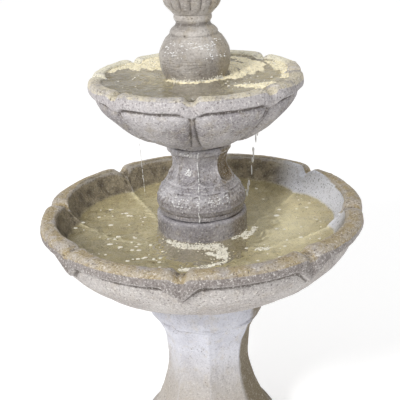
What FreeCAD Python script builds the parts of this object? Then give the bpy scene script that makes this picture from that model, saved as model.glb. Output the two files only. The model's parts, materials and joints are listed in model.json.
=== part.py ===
import FreeCAD, Part
import math
import os

# Two-bowl cast-stone fountain with its pump and plumbing.  Millimetres, +Z up.
# The origin is on the ground, on the axis that every casting is stacked along.
# -Y is the front.  Each function below makes one loose piece of the fountain.

V = FreeCAD.Vector
UP = V(0, 0, 1)
ACROSS = V(1, 0, 0)
ORIGIN = V(0, 0, 0)

# ---- driving dimensions -------------------------------------------------------
SIDES = 8                      # lobes of each bowl and faces of each vase
STEP_DEG = 360.0 / SIDES
SHIM_T = 2.0                   # rubber shim between two castings

LOWER_BOWL_R = 433.0           # outer radius at the rolled rim
LOWER_RIM_Z = 757.0            # crest of the lower rim above the ground
LOWER_FLOOR_Z = 551.0          # inside floor of the lower bowl
LOWER_FACE_Z = 514.0           # underside of the lower bowl
LOWER_NOTCH_DEG = -98.0        # direction of the notch nearest the front

UPPER_BOWL_R = 274.5
UPPER_RIM_Z = 1119.0
UPPER_FLOOR_Z = 990.0
UPPER_FACE_Z = 933.0
UPPER_NOTCH_DEG = -93.0

PEDESTAL_TOP_Z = LOWER_FACE_Z - SHIM_T
PEDESTAL_BORE_R = 104.0
CORD_NOTCH_R = 14.0

DRUM_R = 121.0
DRUM_BORE_R = 97.0
DRUM_FOOT_Z = LOWER_FLOOR_Z + SHIM_T
DRUM_TOP_Z = 745.0
DRUM_PORTS = 4                 # water inlets round the drum's foot
DRUM_PORT_W = 34.0
DRUM_PORT_H = 30.0

COLUMN_FOOT_Z = DRUM_TOP_Z + SHIM_T
COLUMN_TOP_Z = UPPER_FACE_Z - SHIM_T
COLUMN_BORE_R = 38.0
COLUMN_VERTEX_DEG = -100.0     # one edge of the eight-sided neck

BALL_R = 90.0
BALL_Z = 1157.0
BALL_FOOT_Z = UPPER_FLOOR_Z + SHIM_T
BALL_TOP_Z = 1268.0
BUD_FOOT_Z = BALL_TOP_Z
BUD_TOP_Z = 1392.0
BUD_FLUTES = 16
FINIAL_BORE_R = 14.0

FIT = 0.05                     # running clearance between a shaft and its hole
GASKET_T = 3.0
HOSE_R = 8.0
HOSE_IN_R = 6.4
HOSE_TOP_Z = 926.0
WATERWAY_R = 4.6               # bore of the barbs and of the pump's outlet
BARB_L = 34.0                  # hose tail of the bowl fitting
FITTING_R = 13.0
FITTING_FLANGE_R = 24.0
FITTING_FOOT_Z = 896.0
FITTING_RECESS_R = 52.0        # room for the nut under the upper bowl
FITTING_RECESS_Z = 958.0
NUT_H = 12.0
PIPE_R = 8.0
PIPE_IN_R = 6.6
PIPE_FOOT_Z = 975.0
PIPE_TOP_Z = 1366.0
NOZZLE_R = 11.0
NOZZLE_SEAT_Z = 1372.0
NOZZLE_TOP_Z = 1400.0

# The pump lies with its rotor along X and its outlet on the fountain's axis.
PUMP_Z = LOWER_FLOOR_Z + 8.0   # underside of the pump, on its rubber feet
PUMP_H = 66.0
PUMP_HALF_W = 32.0
PUMP_BACK_X = -82.0
PUMP_JOINT_X = -14.0           # face where motor casing and pump chamber meet
PUMP_AXIS_Z = PUMP_Z + PUMP_H / 2
CHAMBER_X = 14.0               # front face of the pump chamber
CHAMBER_R = 18.0
WELL_R = 12.5
WELL_BACK_X = -56.0
MAGNET_R = 11.0
SHAFT_R = 1.5
COVER_X = 48.0                 # front face of the intake cover
COVER_WALL = 2.4
COVER_HALF_W = PUMP_HALF_W - 2.0
DIAL_PIN_R = 3.0
OUTLET_Z = PUMP_Z + PUMP_H + 6.0
BARB_TOP_Z = OUTLET_Z + 30.0
OUTLET_SEAT_R = 9.0            # socket that the outlet's collar sits in
INLET_R = 8.0
BUSH_R = 2.8
SEAL_R = 20.5
SEAL_T = 2.0
GLAND_X = -66.0                # boss on the casing where a cord would enter
GLAND_R = 6.0
CORE_HALF_W = 12.0
CORE_ARM_T = 8.0
CORE_FRONT_X = -24.0
CORE_BACK_X = -76.0
CORE_YOKE_T = 8.0
CORE_LOW_Z = PUMP_Z + 6.0
CORE_HIGH_Z = PUMP_Z + PUMP_H - 6.0
COIL_FRONT_X = -60.0
COIL_BACK_X = -80.0
SCREW_Y = 24.0
SCREW_Z = 25.0                 # screw distance above and below the rotor axis
SCREW_R = 1.8
SCREW_HEAD_R = 3.4
SCREW_HEAD_T = 3.0

# Places of the two holes through the lower bowl's floor, inside the drum.
STANDPIPE_Y = 70.0
STANDPIPE_R = 16.7
STANDPIPE_IN_R = 13.4
STANDPIPE_TOP_Z = 700.0        # above the water, so nothing drains away
STANDPIPE_FOOT_Z = LOWER_FACE_Z - 33.0
DRAIN_Y = -70.0
DRAIN_R = 12.0


# ---- helpers ------------------------------------------------------------------
def wire_from(points):
    """Closed outline in the XZ plane.  A tuple (x, z) is a corner; a list of
    tuples is a smooth curve that carries on from the corner before it."""
    edges = []
    here = V(points[0][0], 0, points[0][1])
    first = here
    for item in points[1:]:
        if isinstance(item, list):
            through = [here] + [V(x, 0, z) for x, z in item]
            curve = Part.BSplineCurve()
            curve.interpolate(through)
            edges.append(curve.toShape())
            here = through[-1]
        else:
            there = V(item[0], 0, item[1])
            edges.append(Part.LineSegment(here, there).toShape())
            here = there
    if here.distanceToPoint(first) > 1e-6:
        edges.append(Part.LineSegment(here, first).toShape())
    return Part.Wire(edges)


def turned(points):
    """Solid of revolution about Z of a closed outline (radius, height)."""
    face = Part.Face(wire_from(points))
    return face.revolve(ORIGIN, UP, 360)


def rod(radius, z_low, z_high, x=0.0, y=0.0):
    return Part.makeCylinder(radius, z_high - z_low, V(x, y, z_low), UP)


def cross_rod(radius, x_low, x_high, y=0.0, z=PUMP_AXIS_Z):
    return Part.makeCylinder(radius, x_high - x_low, V(x_low, y, z), ACROSS)


def block(x_low, x_high, y_low, y_high, z_low, z_high):
    size = (x_high - x_low, y_high - y_low, z_high - z_low)
    return Part.makeBox(*size, V(x_low, y_low, z_low))


def spun(shape, degrees):
    copy = shape.copy()
    copy.rotate(ORIGIN, UP, degrees)
    return copy


def ring_of(shape, count, first_deg=0.0):
    return [spun(shape, first_deg + i * 360.0 / count) for i in range(count)]


def eight_sided(half_outline, vertex_deg):
    """Vase with eight curved faces.  half_outline gives (distance from the
    axis to the middle of a face, height) from the foot to the top."""
    reach = 1.5 * max(x for item in half_outline
                      for x, _ in (item if isinstance(item, list) else [item]))
    right = [(0, half_outline[0][1])] + half_outline
    last = half_outline[-1]
    top_z = (last[-1] if isinstance(last, list) else last)[1]
    right = right + [(0, top_z)]
    half = Part.Face(wire_from(right))
    slab = half.extrude(V(0, 2 * reach, 0))
    slab.translate(V(0, -reach, 0))
    slab = slab.fuse(slab.mirror(ORIGIN, ACROSS)).removeSplitter()
    face_deg = vertex_deg + STEP_DEG / 2
    vase = spun(slab, face_deg)
    for i in range(1, SIDES // 2):
        vase = vase.common(spun(slab, face_deg + i * STEP_DEG))
    return vase.removeSplitter()


def shims(z, radius, width, first_deg):
    """Four rubber shims lying on one casting to level the next."""
    pad = block(radius - width / 2, radius + width / 2, -width / 2, width / 2, z, z + SHIM_T)
    return Part.makeCompound(ring_of(pad, 4, first_deg))


# ---- cast stone ---------------------------------------------------------------
def pedestal():
    """Hollow base: eight-sided waist, round foot and round collar, open below."""
    faces = eight_sided([
        (205.0, 0.0), (205.0, 78.0),
        [(165.0, 112.0), (127.6, 189.0), (109.4, 260.0), (107.0, 310.0), (112.0, 366.0), (121.0, 388.0)],
        (142.0, 440.0), (165.0, 447.0), (165.0, PEDESTAL_TOP_Z)], -90.0)
    bulge = turned([
        (0.0, 0.0), (184.0, 0.0), (186.0, 6.0), (186.0, 24.0), (179.0, 30.0), (179.0, 34.0),
        [(186.0, 46.0), (193.0, 74.0), (189.0, 104.0)],
        (193.0, 108.0), (188.0, 114.0),
        [(180.0, 132.0), (174.0, 160.0)],
        (174.0, 436.0), (154.0, 447.0), [(158.0, 460.0), (160.0, 480.0)],
        (160.0, PEDESTAL_TOP_Z), (0.0, PEDESTAL_TOP_Z)])
    hollow = turned([
        (0.0, 0.0), (150.0, 0.0),
        [(150.0, 60.0), (122.0, 130.0), (82.0, 210.0)],
        (74.0, 240.0), (74.0, 390.0), (PEDESTAL_BORE_R, 450.0),
        (PEDESTAL_BORE_R, PEDESTAL_TOP_Z), (0.0, PEDESTAL_TOP_Z)])
    way_out = Part.makeCylinder(CORD_NOTCH_R, 220, V(0, 0, 0), V(0, 1, 0))
    return faces.common(bulge).cut(hollow).cut(way_out)


def rim_notches(rim_r, rim_z, depth, width, length, first_deg):
    """Spout channels that split a rim into lobes."""
    half = width / 2
    outline = Part.makePolygon([
        V(0, -half, rim_z + 5), V(0, -half, rim_z - depth + half), V(0, 0, rim_z - depth),
        V(0, half, rim_z - depth + half), V(0, half, rim_z + 5), V(0, -half, rim_z + 5)])
    channel = Part.Face(outline).extrude(V(length + 10, 0, 0))
    channel.translate(V(rim_r - length, 0, 0))
    return ring_of(channel, SIDES, first_deg)


def drip_corners(inner_r, outer_r, top_z, drop, half_width, first_deg):
    """Pointed corners under a rim, one below each notch, leaning in at the tip."""
    outline = Part.makePolygon([
        V(inner_r, -half_width, top_z), V(inner_r, half_width, top_z),
        V(inner_r, 0, top_z - drop), V(inner_r, -half_width, top_z)])
    corner = Part.Face(outline).extrude(V(outer_r - inner_r, 0, 0))
    skirt = turned([(inner_r, top_z - drop), (outer_r - drop / 3, top_z - drop), (outer_r, top_z),
                    (inner_r, top_z)])
    return ring_of(corner.common(skirt), SIDES, first_deg)


def lower_bowl():
    """Wide basin: rolled rim, eight lobes, two holes through the floor."""
    bowl = turned([
        (0.0, LOWER_FACE_Z), (176.0, LOWER_FACE_Z),
        [(190.0, 522.5), (227.0, 544.0), (281.0, 572.0), (330.0, 599.0), (364.0, 629.0),
         (394.0, 662.0), (408.0, 692.0), (411.0, 714.0)],
        (426.0, 718.0), (LOWER_BOWL_R, 726.0),
        [(432.0, 742.0), (426.0, 753.0), (415.0, LOWER_RIM_Z), (400.0, 753.0), (388.0, 742.0)],
        [(384.0, 728.0), (368.0, 694.0), (330.0, 650.0), (280.0, 609.0), (215.0, 570.0), (175.0, 554.0)],
        (158.0, LOWER_FLOOR_Z), (0.0, LOWER_FLOOR_Z)])
    bowl = bowl.fuse(drip_corners(398.0, 430.0, 722.0, 38.0, 46.0, LOWER_NOTCH_DEG))
    bowl = bowl.cut(rim_notches(LOWER_BOWL_R, LOWER_RIM_Z, 13.0, 20.0, 60.0, LOWER_NOTCH_DEG))
    bowl = bowl.cut(rod(STANDPIPE_R, LOWER_FACE_Z, LOWER_FLOOR_Z, y=STANDPIPE_Y))
    return bowl.cut(rod(DRAIN_R, LOWER_FACE_Z, LOWER_FLOOR_Z, y=DRAIN_Y))


def upper_bowl():
    """Smaller basin on a turned foot ring, with one hole for its fitting."""
    bowl = turned([
        (0.0, UPPER_FACE_Z), (81.0, UPPER_FACE_Z), (86.0, 949.0), (96.0, 951.0),
        [(140.0, 963.0), (185.0, 989.0), (214.0, 1015.0), (240.0, 1041.0), (252.0, 1062.0), (256.0, 1078.0)],
        (268.0, 1080.0), (UPPER_BOWL_R, 1086.0),
        [(274.5, 1106.0), (269.0, 1116.0), (259.0, UPPER_RIM_Z), (247.0, 1115.0), (239.0, 1105.0)],
        [(228.0, 1066.0), (203.0, 1031.0), (165.0, 1002.0), (138.0, 992.0)],
        (128.0, UPPER_FLOOR_Z), (0.0, UPPER_FLOOR_Z)])
    bowl = bowl.fuse(drip_corners(248.0, 271.0, 1084.0, 18.0, 30.0, UPPER_NOTCH_DEG))
    bowl = bowl.cut(rim_notches(UPPER_BOWL_R, UPPER_RIM_Z, 14.0, 20.0, 46.0, UPPER_NOTCH_DEG))
    bowl = bowl.cut(rod(FITTING_RECESS_R, UPPER_FACE_Z, FITTING_RECESS_Z))
    return bowl.cut(rod(FITTING_R + FIT, UPPER_FACE_Z, UPPER_FLOOR_Z))


def pump_drum():
    """Open ring that hides the pump and carries the column."""
    drum = turned([
        (DRUM_BORE_R, DRUM_FOOT_Z), (DRUM_R, DRUM_FOOT_Z), (DRUM_R, DRUM_TOP_Z - 9.0),
        [(119.5, DRUM_TOP_Z - 3.0), (115.0, DRUM_TOP_Z)], (DRUM_BORE_R, DRUM_TOP_Z)])
    half = DRUM_PORT_W / 2
    port = block(DRUM_BORE_R - 10, DRUM_R + 10, -half, half, DRUM_FOOT_Z, DRUM_FOOT_Z + DRUM_PORT_H)
    arch = Part.makeCylinder(half, DRUM_R - DRUM_BORE_R + 20,
                             V(DRUM_BORE_R - 10, 0, DRUM_FOOT_Z + DRUM_PORT_H), ACROSS)
    return drum.cut(ring_of(port.fuse(arch), DRUM_PORTS, 45.0))


def column():
    """Hollow eight-sided vase between the drum and the upper bowl."""
    faces = eight_sided([
        (130.0, COLUMN_FOOT_Z), (130.0, 812.0),
        [(96.0, 832.0), (79.5, 846.0), (69.0, 864.0), (66.2, 884.0), (70.0, 902.0), (77.0, 914.0)],
        (90.0, 914.5), (90.0, COLUMN_TOP_Z)], COLUMN_VERTEX_DEG)
    round_body = turned([
        (0.0, COLUMN_FOOT_Z), (110.0, COLUMN_FOOT_Z), (113.0, COLUMN_FOOT_Z + 3.0), (113.0, 757.0),
        (111.5, 760.0), [(116.5, 764.0), (118.5, 772.0)], (120.0, 776.0), (118.0, 781.0),
        [(116.5, 790.0), (111.0, 804.0), (104.0, 816.0)], (104.5, 821.0), (101.0, 824.0),
        [(96.0, 832.0), (89.0, 842.0), (84.5, 856.0)],
        (84.0, 915.0), (84.0, COLUMN_TOP_Z - 3.0), (81.0, COLUMN_TOP_Z), (0.0, COLUMN_TOP_Z)])
    return faces.common(round_body).cut(rod(COLUMN_BORE_R, COLUMN_FOOT_Z, COLUMN_TOP_Z))


def finial_ball():
    """Ball on a round foot, with a turned neck."""
    low_z = 1082.0
    low_r = math.sqrt(BALL_R ** 2 - (BALL_Z - low_z) ** 2)
    high_z = 1218.0
    high_r = math.sqrt(BALL_R ** 2 - (high_z - BALL_Z) ** 2)
    body = turned([
        (0.0, BALL_FOOT_Z), (70.0, BALL_FOOT_Z), (70.0, 1004.0), [(58.0, 1024.0), (52.0, 1060.0)],
        (low_r, low_z),
        [(81.8, 1119.5), (BALL_R, BALL_Z), (81.8, 1194.5), (high_r, high_z)],
        (60.0, 1220.0), (61.0, 1224.0), [(57.0, 1230.0), (45.0, 1240.0), (43.5, 1248.0)],
        (47.5, 1253.0), (48.5, 1262.0), (46.0, BALL_TOP_Z), (0.0, BALL_TOP_Z)])
    body = body.cut(rod(FITTING_FLANGE_R + 3.0, BALL_FOOT_Z, 1014.0))
    return body.cut(rod(FINIAL_BORE_R, BALL_FOOT_Z, BALL_TOP_Z))


def finial_bud():
    """Fluted bud that caps the fountain, bored for the riser pipe."""
    body = turned([
        (0.0, BUD_FOOT_Z), (46.0, BUD_FOOT_Z), (49.5, 1271.0),
        [(59.0, 1278.0), (70.0, 1290.0), (76.5, 1310.0), (77.0, 1328.0), (70.0, 1350.0), (50.0, 1372.0)],
        (40.0, 1378.0), [(30.0, 1388.0), (16.0, BUD_TOP_Z)], (0.0, BUD_TOP_Z)])
    groove = Part.makeCylinder(6.0, 130, V(78.0, 0, 1255.0), UP)
    body = body.cut(ring_of(groove, BUD_FLUTES, COLUMN_VERTEX_DEG))
    body = body.cut(rod(FINIAL_BORE_R, BUD_FOOT_Z, NOZZLE_SEAT_Z))
    return body.cut(rod(NOZZLE_R + FIT, BUD_FOOT_Z, BUD_TOP_Z))


# ---- plumbing -----------------------------------------------------------------
def standpipe():
    """Pipe that lets a cord leave the wet bowl; its flange seals the floor."""
    flange_z = LOWER_FLOOR_Z + GASKET_T
    body = rod(STANDPIPE_R - FIT, STANDPIPE_FOOT_Z, STANDPIPE_TOP_Z, y=STANDPIPE_Y)
    body = body.fuse(rod(23.0, flange_z, flange_z + 5.0, y=STANDPIPE_Y))
    return body.cut(rod(STANDPIPE_IN_R, STANDPIPE_FOOT_Z - 1, STANDPIPE_TOP_Z + 1, y=STANDPIPE_Y))


def washer(radius, bore, z_low, z_high, y=0.0):
    return rod(radius, z_low, z_high, y=y).cut(rod(bore, z_low, z_high, y=y))


def hex_nut(across_flats, bore, z_low, z_high, y=0.0):
    corner_r = across_flats / 2 / math.cos(math.pi / 6)
    corners = [V(corner_r * math.cos(math.radians(60 * i)), corner_r * math.sin(math.radians(60 * i)) + y,
                 z_low) for i in range(7)]
    body = Part.Face(Part.makePolygon(corners)).extrude(V(0, 0, z_high - z_low))
    return body.cut(rod(bore, z_low, z_high, y=y))


def drain_plug():
    """Rubber plug with a pull ring, pushed in from above."""
    body = rod(DRAIN_R - FIT, LOWER_FACE_Z + 6.0, LOWER_FLOOR_Z, y=DRAIN_Y)
    body = body.fuse(rod(16.0, LOWER_FLOOR_Z, LOWER_FLOOR_Z + 4.0, y=DRAIN_Y))
    ring = Part.makeTorus(7.0, 1.8, V(0, DRAIN_Y, LOWER_FLOOR_Z + 11.0), ACROSS)
    return body.fuse(ring)


def hose():
    return washer(HOSE_R, HOSE_IN_R, OUTLET_Z + 8.0, HOSE_TOP_Z)


def barb(z_low, z_high, pointing_up):
    """Ridged tail that a hose is pushed over; the ridges bite towards its root."""
    tail_r = HOSE_IN_R - FIT
    ridges = 4
    pitch = (z_high - z_low) / ridges
    outline = [(WATERWAY_R, z_low)]
    for i in range(ridges):
        foot = z_low + i * pitch
        if pointing_up:
            outline += [(tail_r, foot), (tail_r - 0.9, foot + pitch)]
        else:
            outline += [(tail_r - 0.9, foot), (tail_r, foot + pitch)]
    outline += [(WATERWAY_R, z_high)]
    return turned(outline)


def outlet_barb():
    collar = washer(OUTLET_SEAT_R, WATERWAY_R, OUTLET_Z - 6.0, OUTLET_Z + 8.0)
    return collar.fuse(barb(OUTLET_Z + 8.0, BARB_TOP_Z, True))


def clamp_bands():
    bands = []
    for z in (OUTLET_Z + 14.0, HOSE_TOP_Z - 20.0):
        band = washer(HOSE_R + 1.0, HOSE_R, z, z + 9.0)
        house = block(HOSE_R + 0.4, HOSE_R + 7.0, -6.0, 6.0, z, z + 9.0)
        house = house.cut(Part.makeCylinder(2.6, 14, V(HOSE_R + 4.0, -7, z + 4.5), V(0, 1, 0)))
        bands.append(band.fuse(house))
    return Part.makeCompound(bands)


def clamp_screws():
    screws = []
    for z in (OUTLET_Z + 18.5, HOSE_TOP_Z - 15.5):
        shank = Part.makeCylinder(2.4, 14, V(HOSE_R + 4.0, -7, z), V(0, 1, 0))
        head = Part.makeCylinder(3.4, 4, V(HOSE_R + 4.0, -11, z), V(0, 1, 0))
        slot = block(HOSE_R, HOSE_R + 8.0, -11.0, -10.0, z - 0.5, z + 0.5)
        screws.append(shank.fuse(head).cut(slot))
    return Part.makeCompound(screws)


def bowl_fitting():
    """Bulkhead nipple through the upper bowl: hose tail below, pipe socket above."""
    flange_z = UPPER_FLOOR_Z + GASKET_T
    body = washer(FITTING_R, PIPE_R + FIT, PIPE_FOOT_Z, flange_z + 14.0)
    body = body.fuse(washer(FITTING_R, WATERWAY_R, FITTING_FOOT_Z + BARB_L, PIPE_FOOT_Z))
    body = body.fuse(washer(FITTING_FLANGE_R, PIPE_R + FIT, flange_z, flange_z + 4.0))
    return body.fuse(barb(FITTING_FOOT_Z, FITTING_FOOT_Z + BARB_L, False))


def riser_pipe():
    return washer(PIPE_R, PIPE_IN_R, PIPE_FOOT_Z, PIPE_TOP_Z)


def spout_nozzle():
    """Nozzle at the top of the bud; its spigot sits in the riser pipe."""
    body = rod(NOZZLE_R, NOZZLE_SEAT_Z, NOZZLE_TOP_Z - 3.0)
    tip = turned([(0.0, NOZZLE_TOP_Z - 3.0), (9.0, NOZZLE_TOP_Z - 3.0), (7.5, NOZZLE_TOP_Z),
                  (0.0, NOZZLE_TOP_Z)])
    spigot = rod(PIPE_IN_R - FIT, NOZZLE_SEAT_Z - 18.0, NOZZLE_SEAT_Z)
    return body.fuse([tip, spigot]).cut(rod(5.0, NOZZLE_SEAT_Z - 19.0, NOZZLE_TOP_Z + 1))


# ---- pump ---------------------------------------------------------------------
def rounded_box(x_low, x_high, half_w, z_low, z_high, fillet):
    body = block(x_low, x_high, -half_w, half_w, z_low, z_high)
    along_x = [e for e in body.Edges if abs(e.tangentAt(0).x) > 0.9]
    return body.makeFillet(fillet, along_x)


def stator_core():
    """U-shaped iron core: two arms over and under the rotor, and a back yoke."""
    yoke = block(CORE_BACK_X, CORE_BACK_X + CORE_YOKE_T, -CORE_HALF_W, CORE_HALF_W, CORE_LOW_Z, CORE_HIGH_Z)
    low = block(CORE_BACK_X, CORE_FRONT_X, -CORE_HALF_W, CORE_HALF_W, CORE_LOW_Z, CORE_LOW_Z + CORE_ARM_T)
    high = block(CORE_BACK_X, CORE_FRONT_X, -CORE_HALF_W, CORE_HALF_W, CORE_HIGH_Z - CORE_ARM_T, CORE_HIGH_Z)
    return yoke.fuse([low, high]).removeSplitter()


def stator_coil():
    """Copper winding round the yoke."""
    outer = block(COIL_BACK_X, COIL_FRONT_X, -20.0, 20.0, CORE_LOW_Z + 11.0, CORE_HIGH_Z - 11.0)
    upright = [e for e in outer.Edges if abs(e.tangentAt(0).z) > 0.9]
    outer = outer.makeFillet(6.0, upright)
    hole = block(CORE_BACK_X, CORE_BACK_X + CORE_YOKE_T, -CORE_HALF_W, CORE_HALF_W, CORE_LOW_Z, CORE_HIGH_Z)
    return outer.cut(hole)


def screw_places():
    return [(y, PUMP_AXIS_Z + dz) for y in (-SCREW_Y, SCREW_Y) for dz in (-SCREW_Z, SCREW_Z)]


def pump_casing():
    """Potted motor casing with a well for the rotor and a gland boss."""
    body = rounded_box(PUMP_BACK_X, PUMP_JOINT_X, PUMP_HALF_W, PUMP_Z, PUMP_Z + PUMP_H, 8.0)
    body = body.fuse(rod(GLAND_R + 3.0, PUMP_Z + PUMP_H - 8.0, PUMP_Z + PUMP_H + 4.0, x=GLAND_X))
    body = body.cut(cross_rod(WELL_R, WELL_BACK_X, PUMP_JOINT_X + 1))
    body = body.cut(cross_rod(SEAL_R + SEAL_T, PUMP_JOINT_X - SEAL_T, PUMP_JOINT_X + 1))
    body = body.cut(stator_core()).cut(stator_coil())
    body = body.cut(rod(GLAND_R, PUMP_Z + PUMP_H - 4.0, PUMP_Z + PUMP_H + 5.0, x=GLAND_X))
    for y, z in screw_places():
        body = body.cut(cross_rod(SCREW_R, -26.0, PUMP_JOINT_X + 1, y, z))
    return body


def volute_o_ring():
    ring = cross_rod(SEAL_R + SEAL_T, PUMP_JOINT_X - SEAL_T, PUMP_JOINT_X)
    return ring.cut(cross_rod(SEAL_R, PUMP_JOINT_X - SEAL_T, PUMP_JOINT_X))


def pump_volute():
    """Chamber round the impeller, with the outlet on top and the inlet in front."""
    body = rounded_box(PUMP_JOINT_X, CHAMBER_X, PUMP_HALF_W, PUMP_Z, PUMP_Z + PUMP_H, 8.0)
    body = body.fuse(rod(11.0, PUMP_AXIS_Z, OUTLET_Z))
    body = body.cut(cross_rod(CHAMBER_R, PUMP_JOINT_X - 1, CHAMBER_X - 5.0))
    body = body.cut(cross_rod(INLET_R, CHAMBER_X - 6.0, CHAMBER_X + 1))
    body = body.cut(rod(WATERWAY_R, PUMP_AXIS_Z + 10.0, OUTLET_Z + 1))
    body = body.cut(rod(OUTLET_SEAT_R, OUTLET_Z - 6.0, OUTLET_Z + 1))
    spider = block(CHAMBER_X - 5.0, CHAMBER_X, -8.5, 8.5, PUMP_AXIS_Z - 1.2, PUMP_AXIS_Z + 1.2)
    hub = cross_rod(4.2, CHAMBER_X - 7.0, CHAMBER_X)
    body = body.fuse([spider, hub]).cut(cross_rod(BUSH_R, CHAMBER_X - 8.0, CHAMBER_X - 2.0))
    for y, z in screw_places():
        body = body.cut(cross_rod(SCREW_R, PUMP_JOINT_X - 1, CHAMBER_X + 1, y, z))
        body = body.cut(cross_rod(SCREW_HEAD_R, CHAMBER_X - SCREW_HEAD_T, CHAMBER_X + 1, y, z))
    return body


def volute_screws():
    screws = []
    for y, z in screw_places():
        shank = cross_rod(SCREW_R - FIT, -25.0, CHAMBER_X - SCREW_HEAD_T, y, z)
        head = cross_rod(SCREW_HEAD_R - 0.1, CHAMBER_X - SCREW_HEAD_T, CHAMBER_X - 0.4, y, z)
        slot = block(CHAMBER_X - 1.4, CHAMBER_X, y - 3.4, y + 3.4, z - 0.4, z + 0.4)
        screws.append(shank.fuse(head).cut(slot))
    return Part.makeCompound(screws)


def shaft_bushes():
    """Rubber bushes that hold the two ends of the fixed ceramic shaft."""
    rear = cross_rod(WELL_R - 0.1, WELL_BACK_X, WELL_BACK_X + 5.0)
    rear = rear.cut(cross_rod(SHAFT_R, WELL_BACK_X + 1.0, WELL_BACK_X + 5.0))
    front = cross_rod(BUSH_R, CHAMBER_X - 7.0, CHAMBER_X - 2.0)
    front = front.cut(cross_rod(SHAFT_R, CHAMBER_X - 7.0, CHAMBER_X - 3.0))
    return Part.makeCompound([rear, front])


def rotor_shaft():
    return cross_rod(SHAFT_R, WELL_BACK_X + 1.0, CHAMBER_X - 3.0)


def rotor_magnet():
    body = cross_rod(MAGNET_R, WELL_BACK_X + 7.0, PUMP_JOINT_X - 3.0)
    return body.cut(cross_rod(SHAFT_R + FIT, WELL_BACK_X, PUMP_JOINT_X))


def impeller():
    """Six straight vanes on a back plate; it turns on the shaft with the magnet."""
    plate = cross_rod(15.0, PUMP_JOINT_X - 1.0, PUMP_JOINT_X + 2.0)
    plate = plate.fuse(cross_rod(7.0, PUMP_JOINT_X - 3.0, PUMP_JOINT_X + 12.0))
    vane = block(PUMP_JOINT_X + 1.0, PUMP_JOINT_X + 12.0, -0.9, 0.9, PUMP_AXIS_Z + 4.0, PUMP_AXIS_Z + 15.0)
    for i in range(6):
        blade = vane.copy()
        blade.rotate(V(0, 0, PUMP_AXIS_Z), ACROSS, 60.0 * i)
        plate = plate.fuse(blade)
    return plate.cut(cross_rod(SHAFT_R + FIT, PUMP_JOINT_X - 5.0, PUMP_JOINT_X + 13.0))


def intake_cover():
    """Slotted cap over the inlet; it pulls straight off the front."""
    low_x = CHAMBER_X + 0.5
    body = rounded_box(low_x, COVER_X, COVER_HALF_W, PUMP_Z + 2.0, PUMP_Z + PUMP_H - 2.0, 7.0)
    body = body.cut(rounded_box(low_x - 1, COVER_X - COVER_WALL, COVER_HALF_W - COVER_WALL,
                                PUMP_Z + 2.0 + COVER_WALL, PUMP_Z + PUMP_H - 2.0 - COVER_WALL, 5.0))
    slots_per_side = 6
    for i in range(slots_per_side):
        z = PUMP_Z + 10.0 + i * 9.0
        body = body.cut(block(low_x + 8.0, COVER_X - 6.0, -PUMP_HALF_W, PUMP_HALF_W, z, z + 3.0))
        for y_low, y_high in ((-24.0, -13.0), (13.0, 24.0)):
            body = body.cut(block(COVER_X - 4.0, COVER_X + 1.0, y_low, y_high, z, z + 3.0))
    return body.cut(cross_rod(DIAL_PIN_R + FIT, COVER_X - 4.0, COVER_X + 1.0))


def flow_dial():
    """Knob on the cover that throttles the inlet."""
    body = cross_rod(9.0, COVER_X + 0.4, COVER_X + 6.0)
    body = body.fuse(cross_rod(DIAL_PIN_R, COVER_X - COVER_WALL - 3.0, COVER_X + 1.0))
    body = body.fuse(cross_rod(7.0, COVER_X - COVER_WALL - 3.0, COVER_X - COVER_WALL - 0.4))
    grip = block(COVER_X + 6.0, COVER_X + 10.0, -1.6, 1.6, PUMP_AXIS_Z - 8.0, PUMP_AXIS_Z + 8.0)
    return body.fuse(grip)


def filter_sponge():
    """Foam block between the cover and the inlet."""
    half = COVER_HALF_W - COVER_WALL - 1.0
    body = block(CHAMBER_X + 2.0, COVER_X - 8.5, -half, half,
                 PUMP_Z + 2.0 + COVER_WALL + 1.0, PUMP_Z + PUMP_H - 3.0 - COVER_WALL)
    along_x = [e for e in body.Edges if abs(e.tangentAt(0).x) > 0.9]
    return body.makeFillet(5.0, along_x)


def suction_feet():
    feet = []
    for x in (-68.0, -4.0):
        for y in (-20.0, 20.0):
            cup = Part.makeCone(10.0, 5.0, 5.0, V(x, y, LOWER_FLOOR_Z), UP)
            feet.append(cup.fuse(rod(5.0, LOWER_FLOOR_Z + 5.0, PUMP_Z, x, y)))
    return Part.makeCompound(feet)


def cable_gland():
    """Rubber grommet in the casing's boss where a cord would enter."""
    top = PUMP_Z + PUMP_H
    sleeve = rod(GLAND_R, top - 4.0, top + 10.0, x=GLAND_X)
    return sleeve.cut(rod(3.2, top - 2.0, top + 11.0, x=GLAND_X))


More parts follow.
